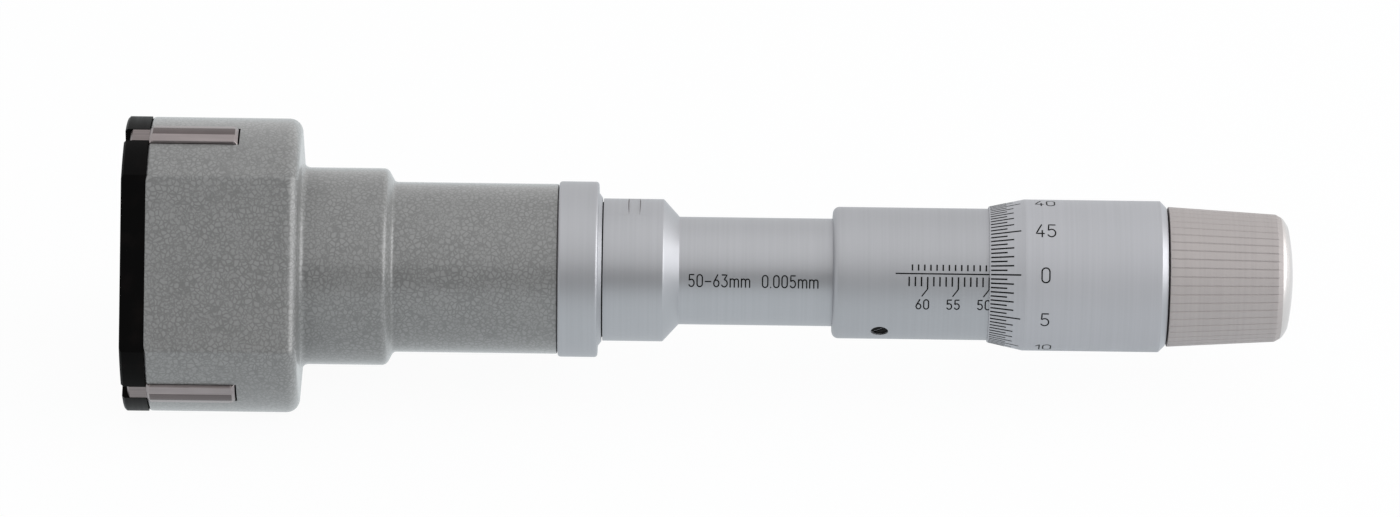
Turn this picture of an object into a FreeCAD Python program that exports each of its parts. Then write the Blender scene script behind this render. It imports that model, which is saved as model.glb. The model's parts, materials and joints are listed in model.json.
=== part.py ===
"""Three-point internal micrometer, 50 to 63 mm, drawn back to its lowest reading.

The axis of the instrument is X. The origin is the centre of the head's front face, +X runs to the
ratchet knob and +Z is up. The head lies on the lowest of its three flats. Angles about the axis are
counted from +Y towards +Z, so the anvils point to 90, 210 and 330 degrees and the flats between them
to 270, 30 and 150 degrees.
"""

import FreeCAD, Part
import math
import os
import Sketcher

doc = FreeCAD.newDocument("BoreMicrometer")
sheet = doc.addObject("Spreadsheet::Sheet", "Sizes")

# Driving sizes, in millimetres and degrees
DRIVING = [
    ("reading_radius", "25.0", "measuring faces to the axis"),
    ("reading_rise", "0.85", "measuring faces beyond the head"),
    ("travel", "13.0", "forward stroke of the cone"),
    ("cone_slope", "0.5", "rise of the cone for each millimetre of length"),
    ("anvil_count", "3", "anvils, and flats between them"),
    ("fit_clearance", "0.02", "radial play of pieces that are fixed together"),
    ("running_clearance", "0.05", "radial play of pieces that slide or turn"),

    ("cap_thickness", "4.0", "end cap"),
    ("cap_overhang", "0.05", "cap beyond the head"),
    ("cap_edge", "0.4", "bevel on the cap's front edge"),
    ("cap_hole_radius", "4.0", "passage for the cone's nose"),
    ("cap_slot_root", "12.0", "inner end of the cap's slots"),
    ("screw_circle", "15.0", "cap screws to the axis"),
    ("screw_radius", "1.2", "cap screw shank"),
    ("screw_head_radius", "2.3", "cap screw head"),
    ("screw_length", "9.0", "cap screw, head included"),
    ("screw_slot_width", "0.6", "slot in the cap screw's head"),
    ("screw_slot_depth", "0.7", "slot in the cap screw's head"),
    ("tapped_depth", "9.0", "screw hole in the head"),

    ("head_length", "24.6", "head behind the cap"),
    ("head_front_edge", "0.6", "rounding beside the cap"),
    ("head_rear_edge", "2.2", "rounding at the rear of the head"),
    ("flat_distance", "19.5", "flats to the axis"),
    ("step_rise", "2.2", "step above the neck"),
    ("step_length", "14.45", "step behind the head"),
    ("step_root", "1.2", "hollow rounding at the head"),
    ("step_edge", "1.2", "rounding at the rear of the step"),
    ("neck_rise", "1.4", "neck above the threaded end"),
    ("neck_length", "27.35", "neck"),
    ("neck_root", "0.8", "hollow rounding at the step"),
    ("thread_rise", "0.3", "threaded end above the flange it draws in"),
    ("thread_length", "4.1", "threaded end of the head"),
    ("cone_bore_gap", "0.35", "cone to the bore around it"),
    ("cone_rear_gap", "1.0", "free space behind the cone"),
    ("bush_wall", "1.95", "guide bush"),
    ("bush_length", "17.5", "guide bush"),
    ("spring_bore_radius", "9.0", "bore for the cone's return spring"),

    ("anvil_width", "5.0", "anvil bar"),
    ("anvil_length", "14.35", "anvil bar"),
    ("anvil_front_gap", "0.1", "anvil bar to the cap"),
    ("anvil_rear_gap", "0.25", "anvil bar to the end of its slot"),
    ("slot_play", "0.15", "each side of an anvil in its slot"),
    ("ramp_gap", "0.03", "oil film between cone and anvil"),
    ("tip_height", "2.5", "hard contact strip"),
    ("tip_bevel_drop", "0.5", "side bevels of the contact strip"),
    ("tip_end_bevel", "0.6", "end bevels of the contact strip"),
    ("land_width", "2.0", "measuring land"),
    ("land_crown", "12.0", "radius of the measuring land"),
    ("foot_width", "3.5", "anvil foot in the cap's slot"),
    ("foot_setback", "1.0", "anvil foot behind the front face"),
    ("foot_root_gap", "0.5", "anvil foot to the root of the cap's slot"),
    ("foot_inset", "0.1", "anvil foot below the cap's rim"),
    ("foot_edge", "0.3", "bevel on the foot's outer front edge"),
    ("lug_length", "3.2", "spring lug at the rear of an anvil"),
    ("lug_width", "3.0", "spring lug"),
    ("lug_thickness", "1.7", "spring lug"),
    ("lug_gap", "0.2", "spring lug to the cone's bore"),
    ("recess_width", "3.4", "spring recess behind an anvil"),
    ("recess_rear_gap", "0.3", "spring lug to the end of its recess"),
    ("recess_wall", "1.65", "head outside the spring recess"),
    ("anvil_spring_radius", "1.1", "anvil spring, middle of the wire"),
    ("anvil_wire", "0.5", "anvil spring wire"),
    ("anvil_spring_turns", "4.5", "anvil spring"),

    ("nose_radius", "1.75", "front of the cone"),
    ("nose_margin", "0.5", "cone's nose behind the front face when fully forward"),
    ("cone_margin", "0.2", "cone left behind the anvils when fully forward"),
    ("stem_radius", "4.0", "stem of the cone"),
    ("stem_tail", "2.3", "stem behind the collar"),
    ("collar_radius", "8.5", "spring collar"),
    ("collar_thickness", "1.7", "spring collar"),
    ("collar_gap", "0.3", "spring collar to the barrel's spigot"),
    ("cone_spring_radius", "6.4", "cone return spring, middle of the wire"),
    ("cone_wire", "0.8", "cone return spring wire"),
    ("cone_spring_turns", "7.0", "cone return spring"),
    ("ball_radius", "1.5", "thrust ball"),
    ("ball_seat_depth", "1.2", "seat of the thrust ball"),

    ("nut_rise", "0.45", "ring nut above the neck"),
    ("nut_length", "6.5", "ring nut without its lip"),
    ("nut_gap", "0.1", "ring nut to the neck"),
    ("nut_edge", "0.5", "rounded edges of the ring nut"),
    ("lip_length", "0.6", "conical lip of the ring nut"),
    ("lip_foot", "0.96", "foot of the conical lip above the coupling"),
    ("lip_wall", "0.12", "rear edge of the conical lip"),

    ("shoulder_rise", "2.84", "coupling above the tube"),
    ("coupling_length", "9.8", "coupling behind the lip"),
    ("relief_width", "0.2", "relief groove behind the ring nut"),
    ("relief_depth", "0.6", "relief groove behind the ring nut"),
    ("spigot_length", "2.5", "spigot in the head's bore"),
    ("flange_rise", "0.56", "flange above the coupling"),
    ("flange_thickness", "0.9", "flange that the ring nut pulls in"),
    ("spanner_place", "4.0", "spanner flats behind the relief groove"),
    ("spanner_width", "2.0", "spanner flats"),
    ("spanner_depth", "0.7", "spanner flats"),
    ("spanner_angle", "80.0", "direction of the first spanner flat"),
    ("spanner_count", "2", "spanner flats"),
    ("shoulder_length", "2.6", "short cone behind the coupling"),
    ("tube_radius", "8.8", "tube of the barrel"),
    ("tube_length", "25.05", "bare tube in front of the scale sleeve"),
    ("barrel_bore_radius", "5.0", "free bore of the barrel"),
    ("screw_nut_length", "24.0", "threaded bore of the barrel"),
    ("barrel_end_gap", "1.0", "barrel to the thimble's web when fully forward"),

    ("sleeve_wall", "1.94", "scale sleeve"),
    ("sleeve_length", "29.75", "scale sleeve"),
    ("sleeve_edge", "1.1", "rounded front edge of the scale sleeve"),
    ("lock_screw_place", "7.75", "lock screw behind the sleeve's front"),
    ("lock_screw_radius", "1.38", "lock screw"),
    ("lock_screw_play", "0.045", "lock screw in its hole"),
    ("lock_screw_sink", "0.3", "lock screw below the sleeve's surface"),
    ("lock_slot_width", "0.4", "slot in the lock screw"),
    ("lock_slot_depth", "0.5", "slot in the lock screw"),
    ("lock_screw_angle", "212.0", "direction of the lock screw"),
    ("adjuster_gap", "1.0", "scale sleeve to the adjusting nut"),
    ("adjuster_length", "5.5", "adjusting nut"),
    ("adjuster_setback", "0.36", "adjusting nut below the scale sleeve"),
    ("adjuster_notch", "1.5", "notches in the adjusting nut"),
    ("notch_count", "4", "notches in the adjusting nut"),

    ("thimble_place", "25.45", "thimble's edge behind the sleeve's front"),
    ("thimble_length", "29.05", "thimble"),
    ("thimble_wall", "1.5", "thimble"),
    ("thimble_play", "0.1", "thimble around the scale sleeve"),
    ("thimble_lip", "0.24", "wall at the thimble's front edge"),
    ("bevel_length", "5.8", "bevel that carries the divisions"),
    ("thimble_chamfer", "1.05", "rear edge of the thimble"),
    ("web_thickness", "3.9", "rear wall of the thimble"),
    ("spindle_radius", "4.0", "spindle"),
    ("journal_radius", "3.0", "spindle in the thimble's web"),
    ("journal_inset", "0.1", "spindle's end inside the web"),
    ("stub_radius", "2.0", "threaded stub of the ratchet hub"),
    ("stub_length", "9.0", "threaded stub of the ratchet hub"),

    ("boss_radius", "5.0", "boss that clamps the thimble"),
    ("boss_length", "2.5", "boss that clamps the thimble"),
    ("hub_flange_radius", "8.2", "flange behind the retaining ring"),
    ("hub_flange_thickness", "1.5", "flange behind the retaining ring"),
    ("shaft_radius", "3.0", "shaft of the ratchet hub"),
    ("pilot_depth", "3.6", "seat of the shaft in the knob"),
    ("pilot_gap", "0.5", "end of the shaft to the floor of its seat"),
    ("disc_radius", "8.2", "ratchet disc"),
    ("disc_thickness", "2.0", "ratchet disc without its teeth"),
    ("tooth_height", "0.7", "face teeth of disc and knob"),
    ("tooth_gap", "0.1", "between the crests of the two rings of teeth"),
    ("tooth_root_radius", "4.8", "inner end of the face teeth"),
    ("tooth_span", "2.9", "length of the face teeth"),
    ("tooth_pitch", "1.6", "width of one face tooth"),
    ("tooth_count", "16", "face teeth"),
    ("ratchet_spring_radius", "5.2", "ratchet spring, middle of the wire"),
    ("ratchet_wire", "0.7", "ratchet spring wire"),
    ("ratchet_spring_turns", "4.0", "ratchet spring"),

    ("knob_gap", "0.3", "knob to the thimble"),
    ("knob_front_radius", "11.44", "front of the knob"),
    ("knob_taper_radius", "10.41", "rear of the knob's taper"),
    ("knob_taper_length", "17.6", "taper of the knob"),
    ("knob_edge_radius", "9.75", "end of the knob's chamfer"),
    ("knob_edge_length", "1.2", "chamfer of the knob"),
    ("knob_face_radius", "8.5", "rim of the knob's domed end"),
    ("knob_face_length", "0.8", "rounding of the knob up to its domed end"),
    ("knob_round", "1.6", "softening of the knob's rear edges"),
    ("knob_dome", "0.9", "height of the domed end"),
    ("knob_bore_radius", "8.6", "hollow of the knob"),
    ("knob_bore_depth", "12.8", "hollow of the knob"),
    ("groove_count", "48", "grip grooves"),
    ("groove_width", "0.36", "grip grooves at the surface"),
    ("groove_depth", "0.2", "grip grooves"),
    ("ring_place", "0.9", "retaining ring behind the knob's front"),
    ("ring_thickness", "1.0", "retaining ring"),
    ("ring_hold", "0.6", "depth of the retaining ring's groove"),
    ("ring_opening", "3.0", "gap in the retaining ring"),
    ("ring_boss_gap", "0.4", "retaining ring to the hub's boss"),
    ("end_play", "0.1", "retaining ring in its groove"),
]

# Places and sizes worked out from the driving sizes
WORKED = [
    ("head_radius", "=reading_radius - reading_rise"),
    ("sleeve_bore_radius", "=tube_radius + fit_clearance"),
    ("sleeve_radius", "=sleeve_bore_radius + sleeve_wall"),
    ("thimble_bore_radius", "=sleeve_radius + thimble_play"),
    ("thimble_radius", "=thimble_bore_radius + thimble_wall"),
    ("adjuster_radius", "=sleeve_radius - adjuster_setback"),
    ("coupling_radius", "=tube_radius + shoulder_rise"),
    ("flange_radius", "=coupling_radius + flange_rise"),
    ("lip_radius", "=coupling_radius + lip_foot"),
    ("thread_radius", "=flange_radius + thread_rise"),
    ("neck_radius", "=thread_radius + neck_rise"),
    ("nut_radius", "=neck_radius + nut_rise"),
    ("step_radius", "=neck_radius + step_rise"),

    ("cap_radius", "=head_radius + cap_overhang"),
    ("cap_slot_half", "=foot_width / 2 + slot_play"),
    ("screw_hole_radius", "=screw_radius + running_clearance"),
    ("sink_radius", "=screw_head_radius + running_clearance"),
    ("screw_head_depth", "=screw_head_radius - screw_radius"),
    ("cut_reach", "=2 * head_radius"),

    ("bar_front", "=cap_thickness + anvil_front_gap"),
    ("bar_rear", "=bar_front + anvil_length"),
    ("slot_end", "=bar_rear + anvil_rear_gap"),
    ("slot_half", "=anvil_width / 2 + slot_play"),
    ("lug_rear", "=bar_rear + lug_length"),
    ("recess_end", "=lug_rear + recess_rear_gap"),
    ("recess_half", "=recess_width / 2"),
    ("recess_top", "=head_radius - recess_wall"),

    ("nose_front", "=travel + nose_margin"),
    ("cone_rear", "=bar_rear + travel + cone_margin"),
    ("cone_rear_radius", "=nose_radius + cone_slope * (cone_rear - nose_front)"),
    ("cone_bore_radius", "=cone_rear_radius + cone_bore_gap"),
    ("cone_bore_end", "=cone_rear + cone_rear_gap"),
    ("anvil_inner", "=nose_radius + ramp_gap"),
    ("anvil_inner_rear", "=anvil_inner + cone_slope * (bar_rear - nose_front)"),
    ("tip_seat", "=reading_radius - tip_height"),
    ("tip_shoulder", "=reading_radius - tip_bevel_drop"),
    ("tip_half", "=anvil_width / 2"),
    ("land_half", "=land_width / 2"),
    ("land_edge", "=reading_radius - land_crown + sqrt(land_crown ^ 2 - land_half ^ 2)"),
    ("foot_root", "=cap_slot_root + foot_root_gap"),
    ("foot_top", "=cap_radius - foot_inset"),
    ("lug_inner", "=cone_bore_radius + lug_gap"),
    ("lug_outer", "=lug_inner + lug_thickness"),
    ("anvil_spring_place", "=(slot_end + recess_end) / 2"),
    ("anvil_spring_start", "=lug_outer + anvil_wire / 2 + fit_clearance"),
    ("anvil_spring_length", "=recess_top - lug_outer - anvil_wire - 2 * fit_clearance"),

    ("head_rear", "=cap_thickness + head_length"),
    ("step_rear", "=head_rear + step_length"),
    ("neck_rear", "=step_rear + neck_length"),
    ("head_end", "=neck_rear + thread_length"),
    ("bush_bore_radius", "=stem_radius + running_clearance"),
    ("bush_radius", "=bush_bore_radius + bush_wall"),
    ("bush_seat_radius", "=bush_radius + fit_clearance"),
    ("bush_end", "=cone_bore_end + bush_length"),

    ("spigot_front", "=head_end - spigot_length"),
    ("spigot_radius", "=spring_bore_radius - running_clearance"),
    ("collar_rear", "=spigot_front - collar_gap"),
    ("collar_front", "=collar_rear - collar_thickness"),
    ("collar_bore_radius", "=stem_radius + fit_clearance"),
    ("stem_end", "=collar_rear + stem_tail"),
    ("ball_seat_floor", "=stem_end - ball_seat_depth"),
    ("ball_seat_radius", "=ball_radius + fit_clearance"),
    ("ball_place", "=ball_seat_floor + ball_radius + fit_clearance"),
    ("spindle_tip", "=ball_place + ball_radius + fit_clearance"),
    ("cone_spring_start", "=bush_end + cone_wire / 2 + fit_clearance"),
    ("cone_spring_length", "=collar_front - bush_end - cone_wire - 2 * fit_clearance"),

    ("flange_rear", "=head_end + flange_thickness"),
    ("nut_front", "=neck_rear + nut_gap"),
    ("nut_rear", "=nut_front + nut_length"),
    ("nut_web", "=flange_rear + fit_clearance"),
    ("nut_thread_radius", "=thread_radius + fit_clearance"),
    ("nut_bore_radius", "=coupling_radius + fit_clearance"),
    ("lip_end", "=nut_rear + lip_length"),
    ("lip_end_radius", "=nut_bore_radius + lip_wall"),
    ("relief_end", "=lip_end + relief_width"),
    ("relief_radius", "=coupling_radius - relief_depth"),
    ("coupling_end", "=relief_end + coupling_length"),
    ("spanner_front", "=relief_end + spanner_place"),
    ("spanner_rear", "=spanner_front + spanner_width"),
    ("spanner_distance", "=coupling_radius - spanner_depth"),
    ("shoulder_end", "=coupling_end + shoulder_length"),
    ("sleeve_front", "=shoulder_end + tube_length"),
    ("sleeve_rear", "=sleeve_front + sleeve_length"),
    ("lock_screw_centre", "=sleeve_front + lock_screw_place"),
    ("lock_hole_radius", "=lock_screw_radius + lock_screw_play"),
    ("adjuster_front", "=sleeve_rear + adjuster_gap"),
    ("adjuster_rear", "=adjuster_front + adjuster_length"),
    ("adjuster_notch_front", "=adjuster_rear - adjuster_notch"),
    ("adjuster_notch_half", "=adjuster_notch / 2"),

    ("thimble_front", "=sleeve_front + thimble_place"),
    ("thimble_rear", "=thimble_front + thimble_length"),
    ("thimble_lip_radius", "=thimble_bore_radius + thimble_lip"),
    ("bevel_end", "=thimble_front + bevel_length"),
    ("chamfer_front", "=thimble_rear - thimble_chamfer"),
    ("chamfer_radius", "=thimble_radius - thimble_chamfer"),
    ("web_front", "=thimble_rear - web_thickness"),
    ("web_bore_radius", "=journal_radius + fit_clearance"),
    ("barrel_end", "=web_front - travel - barrel_end_gap"),
    ("screw_nut_front", "=barrel_end - screw_nut_length"),
    ("screw_nut_radius", "=spindle_radius + running_clearance"),
    ("journal_rear", "=thimble_rear - journal_inset"),
    ("stub_front", "=thimble_rear - stub_length"),
    ("stub_hole_radius", "=stub_radius + fit_clearance"),
    ("stub_hole_front", "=stub_front - end_play"),

    ("knob_front", "=thimble_rear + knob_gap"),
    ("hub_flange_front", "=thimble_rear + boss_length"),
    ("hub_flange_rear", "=hub_flange_front + hub_flange_thickness"),
    ("knob_bore_end", "=knob_front + knob_bore_depth"),
    ("knob_crest", "=knob_bore_end - tooth_height"),
    ("disc_crest", "=knob_crest - tooth_gap"),
    ("disc_rear", "=disc_crest - tooth_height"),
    ("disc_front", "=disc_rear - disc_thickness"),
    ("disc_bore_radius", "=shaft_radius + running_clearance"),
    ("pilot_end", "=knob_bore_end + pilot_depth"),
    ("shaft_end", "=pilot_end - pilot_gap"),
    ("ratchet_spring_start", "=hub_flange_rear + ratchet_wire / 2 + fit_clearance"),
    ("ratchet_spring_length", "=disc_front - hub_flange_rear - ratchet_wire - 2 * fit_clearance"),
    ("taper_end", "=knob_front + knob_taper_length"),
    ("knob_edge_end", "=taper_end + knob_edge_length"),
    ("knob_face", "=knob_edge_end + knob_face_length"),
    ("knob_end", "=knob_face + knob_dome"),
    ("dome_radius", "=(knob_face_radius ^ 2 + knob_dome ^ 2) / (2 * knob_dome)"),
    ("taper_slope", "=(knob_front_radius - knob_taper_radius) / knob_taper_length"),
    ("groove_front", "=knob_front - knob_gap / 2"),
    ("groove_front_floor", "=knob_front_radius + taper_slope * knob_gap / 2 - groove_depth"),
    ("groove_end_floor", "=knob_front_radius - taper_slope * (knob_face - knob_front) - groove_depth"),
    ("groove_half", "=groove_width / 2"),
    ("groove_rim", "=groove_front_floor + groove_depth"),
    ("groove_over_rim", "=groove_front_floor + 2 * groove_depth"),
    ("ring_front", "=knob_front + ring_place"),
    ("ring_rear", "=ring_front + ring_thickness"),
    ("ring_seat_front", "=ring_front - end_play"),
    ("ring_seat_rear", "=ring_rear + end_play"),
    ("ring_seat_radius", "=knob_bore_radius + ring_hold"),
    ("ring_radius", "=ring_seat_radius - fit_clearance"),
    ("ring_bore_radius", "=boss_radius + ring_boss_gap"),
    ("ring_opening_half", "=ring_opening / 2"),
]

for row, (alias, text, meaning) in enumerate(DRIVING, 1):
    sheet.set(f"A{row}", meaning)
    sheet.set(f"B{row}", text)
    sheet.setAlias(f"B{row}", alias)
for row, (alias, text) in enumerate(WORKED, len(DRIVING) + 2):
    sheet.set(f"B{row}", text)
    sheet.setAlias(f"B{row}", alias)
doc.recompute()


def size(name):
    """Value of a size; a leading minus turns its sign."""
    if name == "0":
        return 0.0
    if name.startswith("-"):
        return -float(sheet.get(name[1:]))
    return float(sheet.get(name))


def bind(item, prop, name):
    """Tie a property to a size of the sheet; a leading minus turns its sign."""
    sign = "-" if name.startswith("-") else ""
    item.setExpression(prop, f"{sign}Sizes.{name.lstrip('-')}")


def new_body(label, angle=None):
    """A body, turned about the X axis by an angle in degrees."""
    body = doc.addObject("PartDesign::Body", label)
    body.Label = label
    if angle is not None:
        body.Placement.Rotation = FreeCAD.Rotation(FreeCAD.Vector(1, 0, 0), angle)
    return body


def new_sketch(body, name, plane, offset=None):
    """An empty sketch on one of the body's own planes, moved along its normal to a size."""
    role = {feature.Role: feature for feature in body.Origin.OriginFeatures}
    sketch = body.newObject("Sketcher::SketchObject", name)
    sketch.AttachmentSupport = (role[plane], [""])
    sketch.MapMode = "FlatFace"
    if offset:
        bind(sketch, "AttachmentOffset.Base.z", offset)
    return sketch


def fix_point(sketch, geometry, point, across, up):
    """Hold one point of a sketch at two sizes, counted from the sketch's origin."""
    for kind, axis, name in (("DistanceX", -2, across), ("DistanceY", -1, up)):
        if name == "0":
            sketch.addConstraint(Sketcher.Constraint("PointOnObject", geometry, point, axis))
        else:
            place = sketch.addConstraint(
                Sketcher.Constraint(kind, -1, 1, geometry, point, size(name)))
            bind(sketch, f"Constraints[{place}]", name)


def outline(body, name, corners, plane="XZ_Plane", offset=None, arcs=None):
    """A closed sketch through corners, each a pair of sizes along the plane's two axes.

    arcs gives, for the side that starts at a corner, the size of its radius. The arc bulges to the
    left of the way from corner to corner, or to the right with a leading minus.
    """
    sketch = new_sketch(body, name, plane, offset)
    spots = [FreeCAD.Vector(size(across), size(up), 0) for across, up in corners]
    starts = []
    ends = []
    for side, start in enumerate(spots):
        end = spots[(side + 1) % len(spots)]
        if arcs and side in arcs:
            radius = size(arcs[side])
            chord = end - start
            sagitta = abs(radius) - math.sqrt(radius ** 2 - (chord.Length / 2) ** 2)
            left = FreeCAD.Vector(-chord.y, chord.x, 0).normalize()
            middle = (start + end) / 2 + left * math.copysign(sagitta, radius)
            sketch.addGeometry(Part.Arc(start, middle, end), False)
            forward = sketch.getPoint(side, 1).distanceToPoint(start) < 1e-6
            starts.append(1 if forward else 2)
            ends.append(2 if forward else 1)
        else:
            sketch.addGeometry(Part.LineSegment(start, end), False)
            starts.append(1)
            ends.append(2)
    for side in range(len(spots)):
        after = (side + 1) % len(spots)
        sketch.addConstraint(
            Sketcher.Constraint("Coincident", side, ends[side], after, starts[after]))
    for side, (across, up) in enumerate(corners):
        fix_point(sketch, side, starts[side], across, up)
    for side, radius in (arcs or {}).items():
        bend = sketch.addConstraint(Sketcher.Constraint("Radius", side, abs(size(radius))))
        bind(sketch, f"Constraints[{bend}]", radius.lstrip("-"))
    return sketch


def ring_sketch(body, name, across, up, radius, plane, offset=None):
    """A sketch of one circle."""
    sketch = new_sketch(body, name, plane, offset)
    centre = FreeCAD.Vector(size(across), size(up), 0)
    sketch.addGeometry(Part.Circle(centre, FreeCAD.Vector(0, 0, 1), size(radius)), False)
    fix_point(sketch, 0, 3, across, up)
    bend = sketch.addConstraint(Sketcher.Constraint("Radius", 0, size(radius)))
    bind(sketch, f"Constraints[{bend}]", radius)
    return sketch


def turned(body, corners, arcs=None):
    """Turn an outline of places along the axis and radii about the X axis."""
    profile = outline(body, f"{body.Label}_profile", corners, arcs=arcs)
    turning = body.newObject("PartDesign::Revolution", f"{body.Label}_turning")
    turning.Profile = profile
    turning.ReferenceAxis = (profile, ["H_Axis"])
    turning.Angle = 360
    doc.recompute()
    return turning


def tube(body, front, rear, bore, radius):
    """A plain turned ring between two places along the axis."""
    return turned(body, [(front, bore), (front, radius), (rear, radius), (rear, bore)])


def soften(body, base, kind, circles, amount):
    """Fillet or Chamfer on the circular edges at given places and radii."""
    wanted = [(size(place), size(radius)) for place, radius in circles]
    names = []
    for number, edge in enumerate(base.Shape.Edges, 1):
        if edge.Degenerated or not isinstance(edge.Curve, Part.Circle):
            continue
        at = (edge.Curve.Center.x, edge.Curve.Radius)
        if any(abs(at[0] - x) < 1e-4 and abs(at[1] - r) < 1e-4 for x, r in wanted):
            names.append(f"Edge{number}")
    feature = body.newObject(f"PartDesign::{kind}", f"{body.Label}_{kind}_{amount}")
    feature.Base = (base, names)
    bind(feature, "Radius" if kind == "Fillet" else "Size", amount)
    doc.recompute()
    return feature


def cut(body, sketch, depth=None, both_ways=False, outwards=False):
    """Pocket a sketch, through everything or to a depth."""
    pocket = body.newObject("PartDesign::Pocket", f"{sketch.Name}_cut")
    pocket.Profile = sketch
    if depth:
        bind(pocket, "Length", depth)
    else:
        pocket.Type = "ThroughAll"
    pocket.Midplane = both_ways
    pocket.Reversed = outwards
    return pocket


def repeat(body, features, count):
    """Repeat features round the X axis and make the result the body's tip."""
    pattern = body.newObject("PartDesign::PolarPattern", f"{body.Label}_pattern_{len(body.Group)}")
    pattern.Originals = features
    role = {feature.Role: feature for feature in body.Origin.OriginFeatures}
    pattern.Axis = (role["X_Axis"], [""])
    pattern.Angle = 360
    bind(pattern, "Occurrences", count)
    body.Tip = pattern
    doc.recompute()
    return pattern


def drilled(body, radius, depth=None, sink=None, offset=None):
    """A screw hole below the axis, drilled backwards, with a countersink if sink is given."""
    place = ring_sketch(
        body, f"{body.Label}_drilling", "0", "-screw_circle", radius, "YZ_Plane", offset)
    doc.recompute()
    hole = body.newObject("PartDesign::Hole", f"{body.Label}_hole")
    hole.Profile = place
    hole.Threaded = False
    hole.Reversed = True
    hole.setExpression("Diameter", f"2 * Sizes.{radius}")
    if depth:
        hole.DepthType = "Dimension"
        bind(hole, "Depth", depth)
    else:
        hole.DepthType = "ThroughAll"
    if sink:
        hole.HoleCutType = "Countersink"
        hole.HoleCutCustomValues = True
        hole.setExpression("HoleCutDiameter", f"2 * Sizes.{sink}")
        hole.HoleCutCountersinkAngle = 90
    doc.recompute()
    return hole


def coil(body, start, radius, wire, length, turns, axis="H_Axis"):
    """A helical spring about a sketch axis of its body."""
    across, up = (start, radius) if axis == "H_Axis" else (radius, start)
    profile = new_sketch(body, f"{body.Label}_wire", "XZ_Plane")
    centre = FreeCAD.Vector(size(across), size(up), 0)
    profile.addGeometry(Part.Circle(centre, FreeCAD.Vector(0, 0, 1), size(wire) / 2), False)
    fix_point(profile, 0, 3, across, up)
    bend = profile.addConstraint(Sketcher.Constraint("Radius", 0, size(wire) / 2))
    profile.setExpression(f"Constraints[{bend}]", f"Sizes.{wire} / 2")
    helix = body.newObject("PartDesign::AdditiveHelix", f"{body.Label}_coil")
    helix.Profile = profile
    helix.ReferenceAxis = (profile, [axis])
    helix.Mode = "height-turns-angle"
    bind(helix, "Height", length)
    bind(helix, "Turns", turns)
    doc.recompute()
    return helix


# Features that the head and its cap share, made below or above the axis and then repeated
def flat_cut(body):
    """One flat below the axis."""
    waste = outline(body, f"{body.Label}_flat", [
        ("-cut_reach", "-cut_reach"),
        ("cut_reach", "-cut_reach"),
        ("cut_reach", "-flat_distance"),
        ("-cut_reach", "-flat_distance"),
    ], plane="YZ_Plane")
    return cut(body, waste, both_ways=True)


def slot_cut(body, name, front, rear, half, offset=None, depth=None):
    """A radial slot above the axis, as long as front to rear and twice half wide."""
    mouth = outline(body, f"{body.Label}_{name}", [
        (front, f"-{half}"),
        (rear, f"-{half}"),
        (rear, half),
        (front, half),
    ], plane="XY_Plane", offset=offset)
    return cut(body, mouth, depth=depth, outwards=True)


# Head
def make_head_body():
    body = new_body("head_body")
    blank = turned(body, [
        ("cap_thickness", "cone_bore_radius"),
        ("cap_thickness", "head_radius"),
        ("head_rear", "head_radius"),
        ("head_rear", "step_radius"),
        ("step_rear", "step_radius"),
        ("step_rear", "neck_radius"),
        ("neck_rear", "neck_radius"),
        ("neck_rear", "thread_radius"),
        ("head_end", "thread_radius"),
        ("head_end", "spring_bore_radius"),
        ("bush_end", "spring_bore_radius"),
        ("bush_end", "bush_seat_radius"),
        ("cone_bore_end", "bush_seat_radius"),
        ("cone_bore_end", "cone_bore_radius"),
    ])
    front = soften(body, blank, "Fillet", [("cap_thickness", "head_radius")], "head_front_edge")
    rear = soften(body, front, "Fillet", [("head_rear", "head_radius")], "head_rear_edge")
    root = soften(body, rear, "Fillet", [("head_rear", "step_radius")], "step_root")
    edge = soften(body, root, "Fillet", [("step_rear", "step_radius")], "step_edge")
    soften(body, edge, "Fillet", [("step_rear", "neck_radius")], "neck_root")
    flat = flat_cut(body)
    slot = slot_cut(body, "slot", "0", "slot_end", "slot_half")
    recess = slot_cut(body, "recess", "slot_end", "recess_end", "recess_half", depth="recess_top")
    hole = drilled(body, "screw_hole_radius", depth="tapped_depth", offset="cap_thickness")
    repeat(body, [flat, slot, recess, hole], "anvil_count")
    return body


def make_end_cap():
    body = new_body("end_cap")
    blank = tube(body, "0", "cap_thickness", "cap_hole_radius", "cap_radius")
    soften(body, blank, "Chamfer", [("0", "cap_radius")], "cap_edge")
    flat = flat_cut(body)
    slot = slot_cut(body, "slot", "0", "cap_thickness", "cap_slot_half", offset="cap_slot_root")
    hole = drilled(body, "screw_hole_radius", sink="sink_radius")
    repeat(body, [flat, slot, hole], "anvil_count")
    return body


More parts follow.
